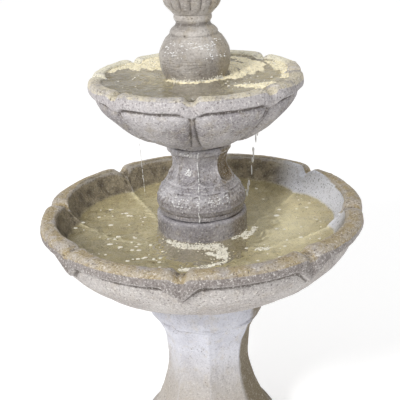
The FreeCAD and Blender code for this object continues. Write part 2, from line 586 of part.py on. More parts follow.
# ---- write every piece ----------------------------------------------------------
PIECES = {
    "pedestal": pedestal(),
    "lower_bowl_shims": shims(PEDESTAL_TOP_Z, 127.0, 30.0, 0.0),
    "lower_bowl": lower_bowl(),
    "drum_shims": shims(LOWER_FLOOR_Z, 109.0, 18.0, 0.0),
    "pump_drum": pump_drum(),
    "column_shims": shims(DRUM_TOP_Z, 105.0, 12.0, 0.0),
    "column": column(),
    "upper_bowl_shims": shims(COLUMN_TOP_Z, 64.0, 16.0, 45.0),
    "upper_bowl": upper_bowl(),
    "finial_shims": shims(UPPER_FLOOR_Z, 50.0, 20.0, 45.0),
    "finial_ball": finial_ball(),
    "finial_bud": finial_bud(),
    "spout_nozzle": spout_nozzle(),
    "riser_pipe": riser_pipe(),
    "bowl_fitting": bowl_fitting(),
    "fitting_gasket": washer(22.0, FITTING_R + FIT, UPPER_FLOOR_Z, UPPER_FLOOR_Z + GASKET_T),
    "fitting_nut": hex_nut(40.0, FITTING_R, FITTING_RECESS_Z - NUT_H, FITTING_RECESS_Z),
    "standpipe": standpipe(),
    "standpipe_gasket": washer(22.0, STANDPIPE_R, LOWER_FLOOR_Z, LOWER_FLOOR_Z + GASKET_T, STANDPIPE_Y),
    "standpipe_nut": hex_nut(46.0, STANDPIPE_R - FIT, LOWER_FACE_Z - 14.0, LOWER_FACE_Z, STANDPIPE_Y),
    "drain_plug": drain_plug(),
    "hose": hose(),
    "clamp_bands": clamp_bands(),
    "clamp_screws": clamp_screws(),
    "outlet_barb": outlet_barb(),
    "pump_casing": pump_casing(),
    "stator_core": stator_core(),
    "stator_coil": stator_coil(),
    "volute_o_ring": volute_o_ring(),
    "pump_volute": pump_volute(),
    "volute_screws": volute_screws(),
    "shaft_bushes": shaft_bushes(),
    "rotor_shaft": rotor_shaft(),
    "rotor_magnet": rotor_magnet(),
    "impeller": impeller(),
    "intake_cover": intake_cover(),
    "filter_sponge": filter_sponge(),
    "flow_dial": flow_dial(),
    "suction_feet": suction_feet(),
    "cable_gland": cable_gland(),
}

os.makedirs("parts", exist_ok=True)
for name, shape in PIECES.items():
    shape.exportStep("parts/" + name + ".step")
    print(f"{name:20s} solids {len(shape.Solids)} valid {shape.isValid()} volume {shape.Volume / 1000:10.2f} cm3")
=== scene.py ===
import json
import math

import bmesh
import bpy
import numpy as np
from mathutils import Matrix, Vector

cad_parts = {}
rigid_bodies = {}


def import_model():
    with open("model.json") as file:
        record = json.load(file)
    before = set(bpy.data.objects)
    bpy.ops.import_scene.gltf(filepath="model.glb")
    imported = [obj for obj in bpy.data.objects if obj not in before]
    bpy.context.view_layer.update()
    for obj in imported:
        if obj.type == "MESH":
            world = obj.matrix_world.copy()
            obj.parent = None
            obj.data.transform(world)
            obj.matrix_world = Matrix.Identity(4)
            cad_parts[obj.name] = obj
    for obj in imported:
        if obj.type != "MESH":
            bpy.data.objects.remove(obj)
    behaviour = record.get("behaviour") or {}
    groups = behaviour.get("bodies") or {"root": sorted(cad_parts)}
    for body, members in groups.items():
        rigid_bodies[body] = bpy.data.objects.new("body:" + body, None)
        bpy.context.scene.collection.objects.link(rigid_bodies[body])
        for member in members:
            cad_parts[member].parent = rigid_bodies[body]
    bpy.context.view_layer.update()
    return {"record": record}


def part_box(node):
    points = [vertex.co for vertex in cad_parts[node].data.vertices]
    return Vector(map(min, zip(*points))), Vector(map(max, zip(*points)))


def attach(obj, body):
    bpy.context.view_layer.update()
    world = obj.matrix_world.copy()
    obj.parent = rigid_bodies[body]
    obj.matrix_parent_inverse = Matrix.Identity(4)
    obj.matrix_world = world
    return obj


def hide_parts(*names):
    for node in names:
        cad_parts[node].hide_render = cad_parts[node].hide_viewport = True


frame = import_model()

# A running two-bowl cast-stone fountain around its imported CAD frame.  Metres, +Z up.
# Angles are measured from the front (-Y), positive towards +X.

# ---- camera, first of all ----
BOWL_D = 0.860  # outer diameter of the lower rim
CAMERA_BACK = 2.510 * BOWL_D  # from the fountain's axis
CAMERA_UP = 1.895 * BOWL_D  # above the ground
PITCH = math.radians(-21.81)
YAW = math.radians(-0.10)
ROLL = math.radians(-2.73)
LENS_MM = 77.55
FILM_MM = 36.0

ahead = Vector((math.sin(YAW) * math.cos(PITCH), math.cos(YAW) * math.cos(PITCH), math.sin(PITCH)))
level = Vector((math.cos(YAW), -math.sin(YAW), 0.0))
above = level.cross(ahead)
right = math.cos(ROLL) * level + math.sin(ROLL) * above
upward = -math.sin(ROLL) * level + math.cos(ROLL) * above
camera_data = bpy.data.cameras.new("camera")
camera_data.lens = LENS_MM
camera_data.sensor_width = FILM_MM
camera = bpy.data.objects.new("camera", camera_data)
turned = Matrix((right, upward, -ahead)).transposed().to_4x4()
camera.matrix_world = Matrix.Translation((0, -CAMERA_BACK, CAMERA_UP)) @ turned
bpy.context.scene.collection.objects.link(camera)
bpy.context.scene.camera = camera

# ---- places, from the frame ----
LOBES = 8  # of both bowls; the column and pedestal have as many facets
LOBE = 2 * math.pi / LOBES
LOWER_RIM_R = 0.433
LOWER_NOTCH = math.radians(-8.0)
UPPER_RIM_Z = 1.119
UPPER_RIM_R = 0.2745
UPPER_NOTCH = math.radians(-3.0)
LOWER_WATER_Z = 0.692
UPPER_WATER_Z = 1.110
COLUMN_EDGE = math.radians(-6.0)  # an edge between two facets
PEDESTAL_EDGE = math.radians(0.5)
PEDESTAL_BEAD = 0.0022  # height of the bead round the foot of each facet
PANEL_FOOT = 0.837  # lowest point of a column panel's round end
PANEL_ARCH = 0.017  # height of the arch that the round end makes
PANEL_SINK = 0.0042  # depth of the panel
PANEL_MARGIN = 0.0022  # from its side to the edge of the facet
PANEL_BEAD = 0.0034  # height of the bead round its foot
DENT_DEPTH = 0.0009  # of the column's hammered band
FLUTES = 16  # round the bud
FLUTE_DEPTH = 0.0065
MOSS_AND_SHADE_FROM = 41.0  # degrees round from the front where the moss and painted shade begin
MOSS_AND_SHADE_TO = (150.0, 125.0)  # where it has died out, and where that begins
SUNLIT_AT = math.radians(112.0)  # side of the bowls' beds that the sun reaches


# ---- numeric helpers ----
def spline(points, count):
    """Points on a Catmull-Rom curve through the given ones, evenly spaced."""
    p = np.array([points[0]] + list(points) + [points[-1]], float)
    p[0] = 2 * p[1] - p[2]
    p[-1] = 2 * p[-2] - p[-3]
    per_span = 24
    t = np.linspace(0, 1, per_span, endpoint=False)[:, None]
    parts = []
    for a, b, c, d in zip(p[:-3], p[1:-2], p[2:-1], p[3:]):
        parts.append(0.5 * (2 * b + (c - a) * t + (2 * a - 5 * b + 4 * c - d) * t ** 2
                            + (3 * b - a - 3 * c + d) * t ** 3))
    dense = np.vstack(parts + [p[-2][None]])
    along = distance_along(dense)
    at = np.linspace(0, along[-1], count)
    return np.stack([np.interp(at, along, column) for column in dense.T], axis=1)


def distance_along(line):
    return np.concatenate([[0], np.cumsum(np.linalg.norm(np.diff(line, axis=0), axis=1))])


def directions(line):
    slope = np.gradient(line, axis=0)
    return slope / np.linalg.norm(slope, axis=1, keepdims=True)


def outline(*stretches, step=0.004):
    """An outline (radius, height).  A tuple is a corner; a list is a smooth curve
    that carries on from the corner before it."""
    made = [np.array([stretches[0]], float)]
    here = stretches[0]
    for item in stretches[1:]:
        points = [here] + (item if isinstance(item, list) else [item])
        length = sum(math.dist(a, b) for a, b in zip(points, points[1:]))
        count = max(2, int(round(length / step)) + 1)
        made.append(spline(points, count)[1:])
        here = points[-1]
    return np.vstack(made)


def lumps(points, wavelength, seed):
    """Smooth random field of about unit size, the same on every run."""
    waves = 20
    rng = np.random.default_rng(seed)
    k = rng.normal(size=(waves, 3))
    k *= (2 * math.pi / wavelength * rng.uniform(0.7, 1.4, waves) / np.linalg.norm(k, axis=1))[:, None]
    phase = rng.uniform(0, 2 * math.pi, waves)
    return np.sin(points @ k.T + phase).sum(-1) / math.sqrt(waves / 2)


def ramp(x, start, end):
    """Smooth step from 0 at start to 1 at end."""
    t = np.clip((x - start) / (end - start), 0, 1)
    return t * t * (3 - 2 * t)


def bell(x, width):
    """1 at zero, dying away over the width."""
    return np.exp(-(x / width) ** 2)


def around(count, first=0.0):
    return first + np.arange(count) * 2 * math.pi / count


def lobe_angles(per_half, notch):
    """Angles round a lobed bowl, closer together at the notches."""
    gather = 1.5
    t = (np.arange(per_half) / per_half) ** gather * LOBE / 2
    one = np.sort(np.concatenate([t, LOBE - t[1:], [LOBE / 2]]))
    return (notch + np.arange(LOBES)[:, None] * LOBE + one[None]).reshape(-1)


def turn_from(theta, start, period=2 * math.pi):
    """Angle from start, or from the nearest of its repeats, up to half a period either way."""
    return np.mod(theta - start + period / 2, period) - period / 2


def place(theta, r, z):
    """Points at an angle from the front, a radius and a height."""
    return np.stack([r * np.sin(theta), -r * np.cos(theta), z], axis=-1)


def smooth_rows(grid, times):
    """Rounds edges that run round the axis, by averaging along each outline."""
    for _ in range(times):
        inner = 0.5 * grid[:, 1:-1] + 0.25 * (grid[:, 2:] + grid[:, :-2])
        grid = np.concatenate([grid[:, :1], inner, grid[:, -1:]], axis=1)
    return grid


def grid_normals(grid, wrap):
    """Normals of a grid.  wrap says that its second axis closes too."""
    along = np.roll(grid, -1, axis=0) - np.roll(grid, 1, axis=0)
    if wrap:
        across = np.roll(grid, -1, axis=1) - np.roll(grid, 1, axis=1)
    else:
        across = np.gradient(grid, axis=1)
    n = np.cross(along, across)
    return n / np.maximum(np.linalg.norm(n, axis=-1, keepdims=True), 1e-12)


def weather(grid, size, seed, wrap, chipped, chips):
    """Uneven cast surface: slow waves, small lumps and chips where chipped is 1.  The
    waves die out at the ground."""
    n = grid_normals(grid, wrap)
    kinds = ((0.7, 0.11), (0.3, 0.040), (0.14, 0.012))  # share and wavelength
    rough = sum(share * lumps(grid, wave, seed + i) for i, (share, wave) in enumerate(kinds))
    rough *= ramp(grid[..., 2], 0.0, 0.012)
    grid = grid + n * (size * rough)[..., None]
    rng = np.random.default_rng(seed + 7)
    flat = grid.reshape(-1, 3)
    n = n.reshape(-1, 3)
    widest = 0.006
    for pick in rng.choice(np.flatnonzero(chipped.reshape(-1) > 0.5), chips):
        reach = widest * rng.uniform(0.4, 1.0) ** 2
        near = np.flatnonzero(np.abs(flat - flat[pick]).max(axis=1) < 2 * reach)
        d = np.linalg.norm(flat[near] - flat[pick], axis=1)
        flat[near] -= n[near] * (0.30 * reach * bell(d, reach))[:, None]
    return flat.reshape(grid.shape)


# ---- mesh helpers ----
def mesh_object(name, points, faces, masks=None, smooth=True):
    """Mesh from points and faces, with one named number per point for each mask."""
    mesh = bpy.data.meshes.new(name)
    mesh.vertices.add(len(points))
    mesh.vertices.foreach_set("co", np.asarray(points, np.float32).reshape(-1))
    sides = np.array([len(face) for face in faces])
    corners = np.concatenate([np.asarray(face) for face in faces])
    mesh.loops.add(len(corners))
    mesh.loops.foreach_set("vertex_index", corners.astype(np.int32))
    mesh.polygons.add(len(sides))
    mesh.polygons.foreach_set("loop_start", np.concatenate([[0], np.cumsum(sides)[:-1]]).astype(np.int32))
    mesh.polygons.foreach_set("use_smooth", np.full(len(sides), smooth))
    mesh.update(calc_edges=True)
    mesh.validate()
    for key, values in (masks or {}).items():
        layer = mesh.attributes.new(key, "FLOAT", "POINT")
        layer.data.foreach_set("value", np.asarray(values, np.float32).reshape(-1))
    made = bpy.data.objects.new(name, mesh)
    bpy.context.scene.collection.objects.link(made)
    return made


def grid_object(name, grid, masks):
    """Closed skin over a grid, both of whose axes close, with its faces turned outwards."""
    index = np.arange(grid.shape[0] * grid.shape[1]).reshape(grid.shape[:2])
    beside = np.roll(index, -1, axis=0)
    quads = np.stack([index, np.roll(index, -1, axis=1), np.roll(beside, -1, axis=1), beside], axis=-1)
    quads = quads.reshape(-1, 4)
    points = grid.reshape(-1, 3)
    a, b, c, d = (points[quads[:, i]] for i in range(4))
    volume = np.einsum("ij,ij->", a, np.cross(b, c) + np.cross(c, d))
    if volume < 0:
        quads = quads[:, ::-1]
    return mesh_object(name, points, quads, masks)


# ---- material helpers ----
class Shade:
    """Short way to write a node material."""

    def __init__(self, name):
        self.material = bpy.data.materials.new(name)
        self.material.use_nodes = True
        self.tree = self.material.node_tree
        self.tree.nodes.clear()
        self.out = self.add("ShaderNodeOutputMaterial")
        self.where = self.add("ShaderNodeTexCoord").outputs["Object"]

    def add(self, kind, settings=None, **inputs):
        made = self.tree.nodes.new(kind)
        for key, value in (settings or {}).items():
            setattr(made, key, value)
        for key, value in inputs.items():
            self.feed(made.inputs[key.replace("_", " ")], value)
        return made

    def feed(self, socket, value):
        """Links a socket, or sets it.  A colour may be three numbers."""
        if isinstance(value, bpy.types.NodeSocket):
            self.tree.links.new(value, socket)
        elif socket.type == "RGBA":
            socket.default_value = (*value[:3], 1.0)
        else:
            socket.default_value = value

    def noise(self, size, detail=3.0, rough=0.55, where=None):
        return self.add("ShaderNodeTexNoise", Vector=where or self.where, Scale=1.0 / size, Detail=detail,
                        Roughness=rough).outputs["Fac"]

    def grains(self, size):
        return self.add("ShaderNodeTexVoronoi", Vector=self.where, Scale=1.0 / size).outputs["Distance"]

    def step(self, value, start, end, low_to=0.0, high_to=1.0):
        """Smooth step of a value, from low_to at start to high_to at end."""
        made = self.add("ShaderNodeMapRange", {"interpolation_type": "SMOOTHSTEP"}, Value=value)
        for i, number in enumerate((start, end, low_to, high_to)):
            made.inputs[i + 1].default_value = number
        return made.outputs["Result"]

    def maths(self, kind, a, b, clamp=False):
        made = self.add("ShaderNodeMath", {"operation": kind, "use_clamp": clamp})
        self.feed(made.inputs[0], a)
        self.feed(made.inputs[1], b)
        return made.outputs[0]

    def times(self, a, b):
        return self.maths("MULTIPLY", a, b)

    def mix(self, amount, a, b):
        """Colour a turning into colour b as the amount goes from 0 to 1."""
        made = self.add("ShaderNodeMix", {"data_type": "RGBA"}, Factor=amount)
        first, second, result = 6, 7, 2  # where the node keeps its colour sockets
        self.feed(made.inputs[first], a)
        self.feed(made.inputs[second], b)
        return made.outputs[result]

    def layers(self, amount, under, over):
        made = self.add("ShaderNodeMixShader")
        for socket, value in zip(made.inputs, (amount, under, over)):
            self.feed(socket, value)
        return made.outputs[0]

    def mask(self, key):
        return self.add("ShaderNodeAttribute", {"attribute_name": key}).outputs["Fac"]

    def stretch(self, x, y, z):
        return self.add("ShaderNodeMapping", Vector=self.where, Scale=(x, y, z)).outputs[0]

    def bump(self, height, size, strength):
        return self.add("ShaderNodeBump", Height=height, Distance=size, Strength=strength).outputs[0]

    def finish(self, **inputs):
        main = self.add("ShaderNodeBsdfPrincipled", **inputs)
        self.tree.links.new(main.outputs[0], self.out.inputs["Surface"])
        return self.material


def put(thing, material):
    thing.data.materials.clear()
    thing.data.materials.append(material)
    return thing


# ---- stone castings ----
def hollows(grid, wrap):
    """How far each point lies in a crevice (up to 1) or on an edge (down to -1)."""
    reach = 3
    full = 0.0025
    total = np.zeros_like(grid)
    for axis in (0, 1):
        for shift in (-reach, reach):
            total += np.roll(grid, shift, axis=axis)
    depth = np.einsum("ijk,ijk->ij", total / 4 - grid, outward(grid, wrap))
    return np.clip(depth / full, -1, 1)


def outward(grid, wrap):
    """Normals that point away from the middle of the wall."""
    n = grid_normals(grid, wrap)
    centre_line = grid.mean(axis=1, keepdims=True)
    away = np.einsum("ijk,ijk->ij", n, grid - centre_line).mean()
    return n if away > 0 else -n


def notch_depth(s, spec):
    """Share of a notch's depth at a distance s from its middle."""
    return np.exp(-(s / spec["spout_w"]) ** 4)


def inside_rows(spec, theta, sink=0.0):
    """Inner face of a bowl from the axis to the lip, one row per angle, (r, z)."""
    line = outline(*spec["inside"], step=spec["inside_step"])
    phi = turn_from(theta, spec["notch"], LOBE)
    t = np.abs(phi) / (LOBE / 2)
    ridge = 0.7 * (1 - t) ** 2.6 + 0.3 * np.exp(-np.abs(phi) * spec["rim_r"] / 0.014)
    slope = directions(line)
    proud = np.interp(line[:, 0], *spec["ridges"])
    hollow = -spec["scoop"] * ramp(line[:, 0], 0.3 * spec["rim_r"], 0.8 * spec["rim_r"])
    lift = ridge[:, None] * proud[None] + (1 - ridge)[:, None] * hollow[None] - sink
    r = line[:, 0][None] - slope[:, 1][None] * lift
    z = line[:, 1][None] + slope[:, 0][None] * lift
    return r, z


def bowl_rows(spec, theta):
    """Outline of a bowl for each angle, and masks over it: the inner face, the part of the
    lip under the tan film, and the band below the lip."""
    phi = turn_from(theta, spec["notch"], LOBE)
    s = np.abs(phi) * spec["rim_r"]
    cut = notch_depth(s, spec)[:, None]
    pull = (spec["pull"] * np.exp(-s / spec["pull_w"]))[:, None]
    sag = (spec["drop"] * np.clip(1 - s / spec["drop_w"], 0, 1) ** 1.15)[:, None]

    r_in, z_in = inside_rows(spec, theta)
    cut_height = 0.055  # over which the notch opens up the inner face
    lip_z = spec["lip"][0][1]
    z_in = z_in - spec["spout_d"] * cut * ramp(z_in, lip_z - cut_height, lip_z)

    lip = outline(*spec["lip"], step=spec["lip_step"])
    u = np.linspace(0, 1, len(lip))[None]
    shift = r_in[:, -1:] - lip[0, 0]
    r_lip = lip[:, 0][None] + shift * (1 - u) ** 1.5 - pull * u
    z_lip = lip[:, 1][None] - spec["spout_d"] * cut * (1 - 0.35 * u)

    r_a = lip[-1, 0]
    r_b, z_b = spec["hem"]
    u = np.linspace(0, 1, spec["fascia_rows"] + 1)[None, 1:]
    bottom = z_b - sag
    r_fas = r_a + (r_b - r_a) * u - pull * (1 - 0.2 * u) + spec["fascia_swell"] * np.sin(math.pi * u)
    r_fas = r_fas - spec["drop_lean"] * (sag / spec["drop"]) * u
    top = z_lip[:, -1:]
    z_fas = top + (bottom - top) * u

    belly = outline(*spec["belly"], step=0.002)
    way = distance_along(belly)
    start = np.interp(-(bottom - spec["hem_gap"]), -belly[:, 1], way)
    u = np.linspace(0, 1, spec["belly_rows"])[None]
    at = start + (way[-1] - start) * u ** 1.1
    r_bel = np.interp(at, way, belly[:, 0])
    z_bel = np.interp(at, way, belly[:, 1])
    if spec["pillow"]:
        strap = spec["strap"] * (1 + 1.2 * u ** 1.5)
        edge = np.abs(phi)[:, None] * r_bel - strap
        end_gap = way[-1] - at
        margin = np.minimum(np.minimum(edge, at - start + 0.004), end_gap + 0.012)
        puff = spec["pillow"] * ramp(margin, 0.0, 0.022) ** 0.6
        groove_depth, groove_w = 0.0045, 0.0035
        groove = groove_depth * bell(edge + 0.001, groove_w) * ramp(end_gap, 0.0, 0.01)
        slope = directions(belly)
        r_bel = r_bel - np.interp(at, way, slope[:, 1]) * (puff - groove)
        z_bel = z_bel + np.interp(at, way, slope[:, 0]) * (puff - groove)

    u = np.linspace(0, 1, 4)[None, 1:-1]
    r_und = r_fas[:, -1:] + (r_bel[:, :1] - r_fas[:, -1:]) * u
    z_und = z_fas[:, -1:] + (z_bel[:, :1] - z_fas[:, -1:]) * u
    ring = outline(*spec["foot"], step=0.0015)
    shift = (r_bel[:, -1:] - ring[0, 0]) * np.linspace(1, 0, len(ring))[None, 1:] ** 3
    r_ring = ring[None, 1:, 0] + shift
    z_ring = ring[None, 1:, 1] + 0 * shift
    u = np.linspace(0, 1, 7)[None, 1:]
    r_foot = r_ring[:, -1:] * (1 - u) + spec["bore"] * u
    z_foot = z_ring[:, -1:] + 0 * u
    r = np.concatenate([r_in, r_lip[:, 1:], r_fas, r_und, r_bel, r_ring, r_foot], axis=1)
    z = np.concatenate([z_in, z_lip[:, 1:], z_fas, z_und, z_bel, z_ring, z_foot], axis=1)
    n_in = r_in.shape[1]
    n_lip = n_in + lip.shape[0] - 1
    col = np.arange(r.shape[1])[None]
    turn = np.degrees(turn_from(theta, 0.0))[:, None]
    wall_top = n_in + ramp(np.abs(turn), 105, 125) * spec["wall_creep"] * len(lip)
    inside = (col < wall_top).astype(float)
    share = spec["film_share"] + (1.0 - spec["film_share"]) * ramp(np.abs(turn), 38, 75)
    on_lip = ((col >= wall_top - 1) * (col < n_in + share * len(lip))).astype(float)
    early = 5  # rows of the lip that the band's mask takes in
    along = np.clip((col - n_lip + early) / (spec["fascia_rows"] + early), 0, 1) * 0.3 + 0.7
    fascia = along * ((col >= n_lip - early) * (col < n_lip + spec["fascia_rows"]))
    fascia = fascia * (1 - 0.75 * ramp(turn, 42, 70))
    return r, z, inside, on_lip, fascia


def bowl(name, spec, material):
    """One closed casting from the rows of a bowl, capped at both ends on the axis."""
    theta = lobe_angles(spec["steps"], spec["notch"])
    r, z, inside, on_lip, fascia = bowl_rows(spec, theta)
    soften = 2
    rz = smooth_rows(np.stack([r, z], axis=-1), soften)
    for _ in range(soften):
        rz = 0.5 * rz + 0.25 * (np.roll(rz, 1, axis=0) + np.roll(rz, -1, axis=0))
    grid = place(theta[:, None] + 0 * r, rz[..., 0], rz[..., 1])
    grid = weather(grid, spec["uneven"], spec["seed"], False, on_lip, spec["chips"])
    hollow = hollows(grid, False)
    wrong = 4  # rows that roll over from the other end
    hollow[:, :wrong] = 0
    hollow[:, -wrong:] = 0
    off = np.abs(turn_from(theta, spec["notch"], LOBE))[:, None] * np.maximum(r, 0.1)
    # Painted highlight along the ridges of the bed.
    ridges = bell(off, 0.010) * inside
    # Painted sheen: the pale mask lightens the wall where light falls on it, and the lip by its share.
    centre, width, lip_share = spec["pale"]
    away = np.degrees(np.abs(turn_from(theta, math.radians(centre))))
    there = ramp(away, width + 9, width - 9)
    pale = there[:, None] * np.maximum(on_lip * lip_share, inside * (1 - on_lip))
    # Painted sunlight on the side of the bed that the sun reaches.
    sunlit = bell(turn_from(theta, SUNLIT_AT), 0.75)[:, None] * ramp(r, *spec["sunlit"]) * inside
    masks = {"inside": inside, "lip": on_lip, "hollow": hollow, "pale": pale,
             "fascia": fascia, "painted_bed_light": np.maximum(0.8 * ridges, sunlit)}
    index = np.arange(r.size).reshape(r.shape)
    beside = np.roll(index, -1, axis=0)
    quads = np.stack([beside[:, :-1], beside[:, 1:], index[:, 1:], index[:, :-1]], axis=-1).reshape(-1, 4)
    faces = [*quads, index[::-1, 0], index[:, -1]]
    return put(mesh_object(name, grid.reshape(-1, 3), faces, masks), material)


# A bowl's outlines are (radius, height) points.  inside runs from the axis to the lip, lip
# over the rim, hem is the lower edge of the band below it, belly and foot are the underside.
# The spout is the notch between two lobes, pull draws the rim in there and drop is the
# pointed corner under it.  pale is where the wall gets painted sheen (direction, half width
# in degrees, share of the lip), sunlit the radii between which the painted sunlit bed fades.
LOWER = dict(
    rim_r=LOWER_RIM_R, notch=LOWER_NOTCH, steps=33, seed=11, spill=0.0, uneven=0.0008, chips=90,
    inside=[(0.004, 0.551), (0.150, 0.551), [
        (0.215, 0.571), (0.280, 0.611), (0.326, 0.652), (0.360, 0.694), (0.380, 0.728), (0.3885, 0.750)]],
    inside_step=0.0062, ridges=([0.10, 0.16, 0.24, 0.33, 0.388], [0.0, 0.006, 0.012, 0.018, 0.022]),
    scoop=0.004, lip=[(0.3885, 0.750), [
        (0.3905, 0.7535), (0.395, 0.7555), (0.404, 0.7568), (0.416, 0.757), (0.426, 0.753), (0.431, 0.746),
        (0.432, 0.740)]],
    lip_step=0.0026, spout_w=0.0175, spout_d=0.020, pull=0.011, pull_w=0.024, hem=(0.432, 0.722),
    fascia_rows=12, fascia_swell=0.002, drop=0.042, drop_w=0.050, drop_lean=0.004, hem_gap=0.006,
    belly=[(0.416, 0.724), [
        (0.411, 0.712), (0.408, 0.692), (0.394, 0.662), (0.364, 0.629), (0.330, 0.599), (0.281, 0.572),
        (0.227, 0.544), (0.190, 0.5225)], (0.179, 0.517)],
    belly_rows=56, pillow=0.0, pale=(106, 32, 0.0), film_share=0.85, wall_creep=0.35,
    sunlit=(0.33, 0.26), foot=[(0.179, 0.517), (0.176, 0.514)], bore=0.004)

UPPER = dict(
    rim_r=UPPER_RIM_R, notch=UPPER_NOTCH, steps=33, seed=31, spill=0.013, uneven=0.0007, chips=80,
    inside=[(0.020, 0.990), (0.120, 0.990), [
        (0.140, 0.993), (0.165, 1.002), (0.203, 1.031), (0.228, 1.066), (0.2395, 1.1115)]],
    inside_step=0.0045, ridges=([0.08, 0.12, 0.18, 0.24], [0.0, 0.006, 0.012, 0.016]),
    scoop=0.003, lip=[(0.2395, 1.1115), [
        (0.2415, 1.1155), (0.247, 1.1182), (0.258, 1.119), (0.267, 1.117), (0.2725, 1.111), (0.274, 1.104)]],
    lip_step=0.0016, spout_w=0.016, spout_d=0.017, pull=0.010, pull_w=0.016, hem=(0.2735, 1.086),
    fascia_rows=14, fascia_swell=0.0015, drop=0.017, drop_w=0.034, drop_lean=0.008, hem_gap=0.005,
    belly=[(0.259, 1.088), [
        (0.256, 1.078), (0.251, 1.062), (0.238, 1.041), (0.212, 1.015), (0.183, 0.989), (0.140, 0.964),
        (0.102, 0.951)]],
    belly_rows=58, pillow=0.006, strap=0.0065, pale=(190, 85, 1.0), film_share=0.75, wall_creep=0.0,
    sunlit=(0.12, 0.10), bore=0.020,
    foot=[(0.102, 0.951), (0.090, 0.9495), [(0.0885, 0.946), (0.0875, 0.942)], (0.0835, 0.939),
          (0.082, 0.933)])


def facets(theta, body, apothem, edge):
    """Radius of a round body with eight faces cut into it, how far the faces cut in, and the
    angle from the middle of the nearest face."""
    turn = turn_from(theta[:, None], edge + LOBE / 2, LOBE)
    face = apothem[None] / np.cos(turn)
    round_body = body[None] + 0 * face
    soft = 0.0012
    return -soft * np.logaddexp(-face / soft, -round_body / soft), round_body - face, turn


def turned_piece(name, outer, inner, steps, material, seed, uneven, step=0.0025, radius=None, chips=20,
                 moss_and_shade=0.5, moss_and_shade_from=MOSS_AND_SHADE_FROM, moss_and_shade_foot=0.0):
    """A casting turned about the axis: outer face from foot to top, inner face from top to
    foot.  radius(theta, z, r) may reshape its outer face.  The side away from the sun (+X,
    towards the back) has moss and painted shade from moss_and_shade_from round, and less so
    below moss_and_shade_foot."""
    line = outline(*outer, step=step)
    back = outline(*inner, step=0.012)
    theta = around(steps)
    r = radius(theta, line[:, 1], line[:, 0]) if radius else np.tile(line[:, 0], (steps, 1))
    rz = smooth_rows(np.stack([r, np.tile(line[:, 1], (steps, 1))], axis=-1), 1)
    back = np.broadcast_to(back[None], (steps, *back.shape))
    share = np.linspace(0, 1, 6)[None, 1:-1, None]
    top = rz[:, -1:] * (1 - share) + back[:, :1] * share
    foot = back[:, -1:] * (1 - share) + rz[:, :1] * share
    rz = np.concatenate([rz, top, back, foot], axis=1)
    grid = place(theta[:, None] + 0 * rz[..., 0], rz[..., 0], rz[..., 1])
    shown = np.zeros(rz.shape[:2])
    shown[:, :len(line)] = 1
    grid = weather(grid, uneven, seed, True, shown, chips)
    turn = np.degrees(np.mod(theta, 2 * math.pi))
    # Moss and painted shade on the side away from the light.
    moss_and_shade_cover = moss_and_shade * ramp(turn, moss_and_shade_from - 5, moss_and_shade_from + 5) * ramp(turn, *MOSS_AND_SHADE_TO)
    moss_and_shade_cover = moss_and_shade_cover[:, None] * (0.3 + 0.7 * ramp(grid[..., 2], moss_and_shade_foot - 0.006, moss_and_shade_foot + 0.002))
    return put(grid_object(name, grid, {"hollow": hollows(grid, True) * shown, "moss_and_shade": moss_and_shade_cover}), material)


def pedestal_radius(theta, z, r):
    face = outline(*PEDESTAL_FACE)
    shaped, cut_in, _ = facets(theta, r, np.interp(z, face[:, 1], face[:, 0]), PEDESTAL_EDGE)
    here = ramp(z, 0.100, 0.115) * ramp(z, 0.225, 0.185)
    return shaped + PEDESTAL_BEAD * bell(cut_in - 0.001, 0.0035) * here[None]


def column_radius(theta, z, r):
    """Facets with a sunk panel in each, round-ended at its foot, with a bead round that end,
    and a hammered band round the belly."""
    face = outline(*COLUMN_FACE)
    clear = 0.2  # beyond the body, so that no facet is cut there
    apothem = np.interp(z, face[:, 1], face[:, 0], left=clear, right=clear)
    shaped, _, turn = facets(theta, r, apothem, COLUMN_EDGE)
    side = np.abs(shaped * np.sin(turn))
    half = (apothem * math.tan(LOBE / 2) - PANEL_MARGIN)[None]
    below = np.minimum(z - PANEL_FOOT - PANEL_ARCH, 0)[None] / PANEL_ARCH
    arch = half - np.hypot(side, 0.034 * below)
    panel = PANEL_SINK * ramp(z, 0.905, 0.872)[None] * ramp(arch, -0.0008, 0.0022)
    bead = PANEL_BEAD * bell(arch + 0.0022, 0.0026) * ramp(z, 0.866, 0.852)[None]
    hammered = DENT_DEPTH * ramp(z, 0.785, 0.790) * ramp(z, 0.815, 0.811)
    dents = lumps(place(theta[:, None], shaped, z[None] + 0 * shaped), 0.011, 17)
    return shaped - panel + bead + hammered[None] * dents


def bud_radius(theta, z, r):
    """Flutes that begin a little above the bud's foot."""
    flute = 2 * math.pi / FLUTES
    turn = turn_from(theta, math.radians(-4), flute)
    edge = 1 - np.abs(turn[:, None]) / (flute / 2)
    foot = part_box("finial_bud")[0].z
    depth = FLUTE_DEPTH * ramp(z, foot + 0.006, foot + 0.02)[None]
    return r[None] - depth * edge ** 3.2


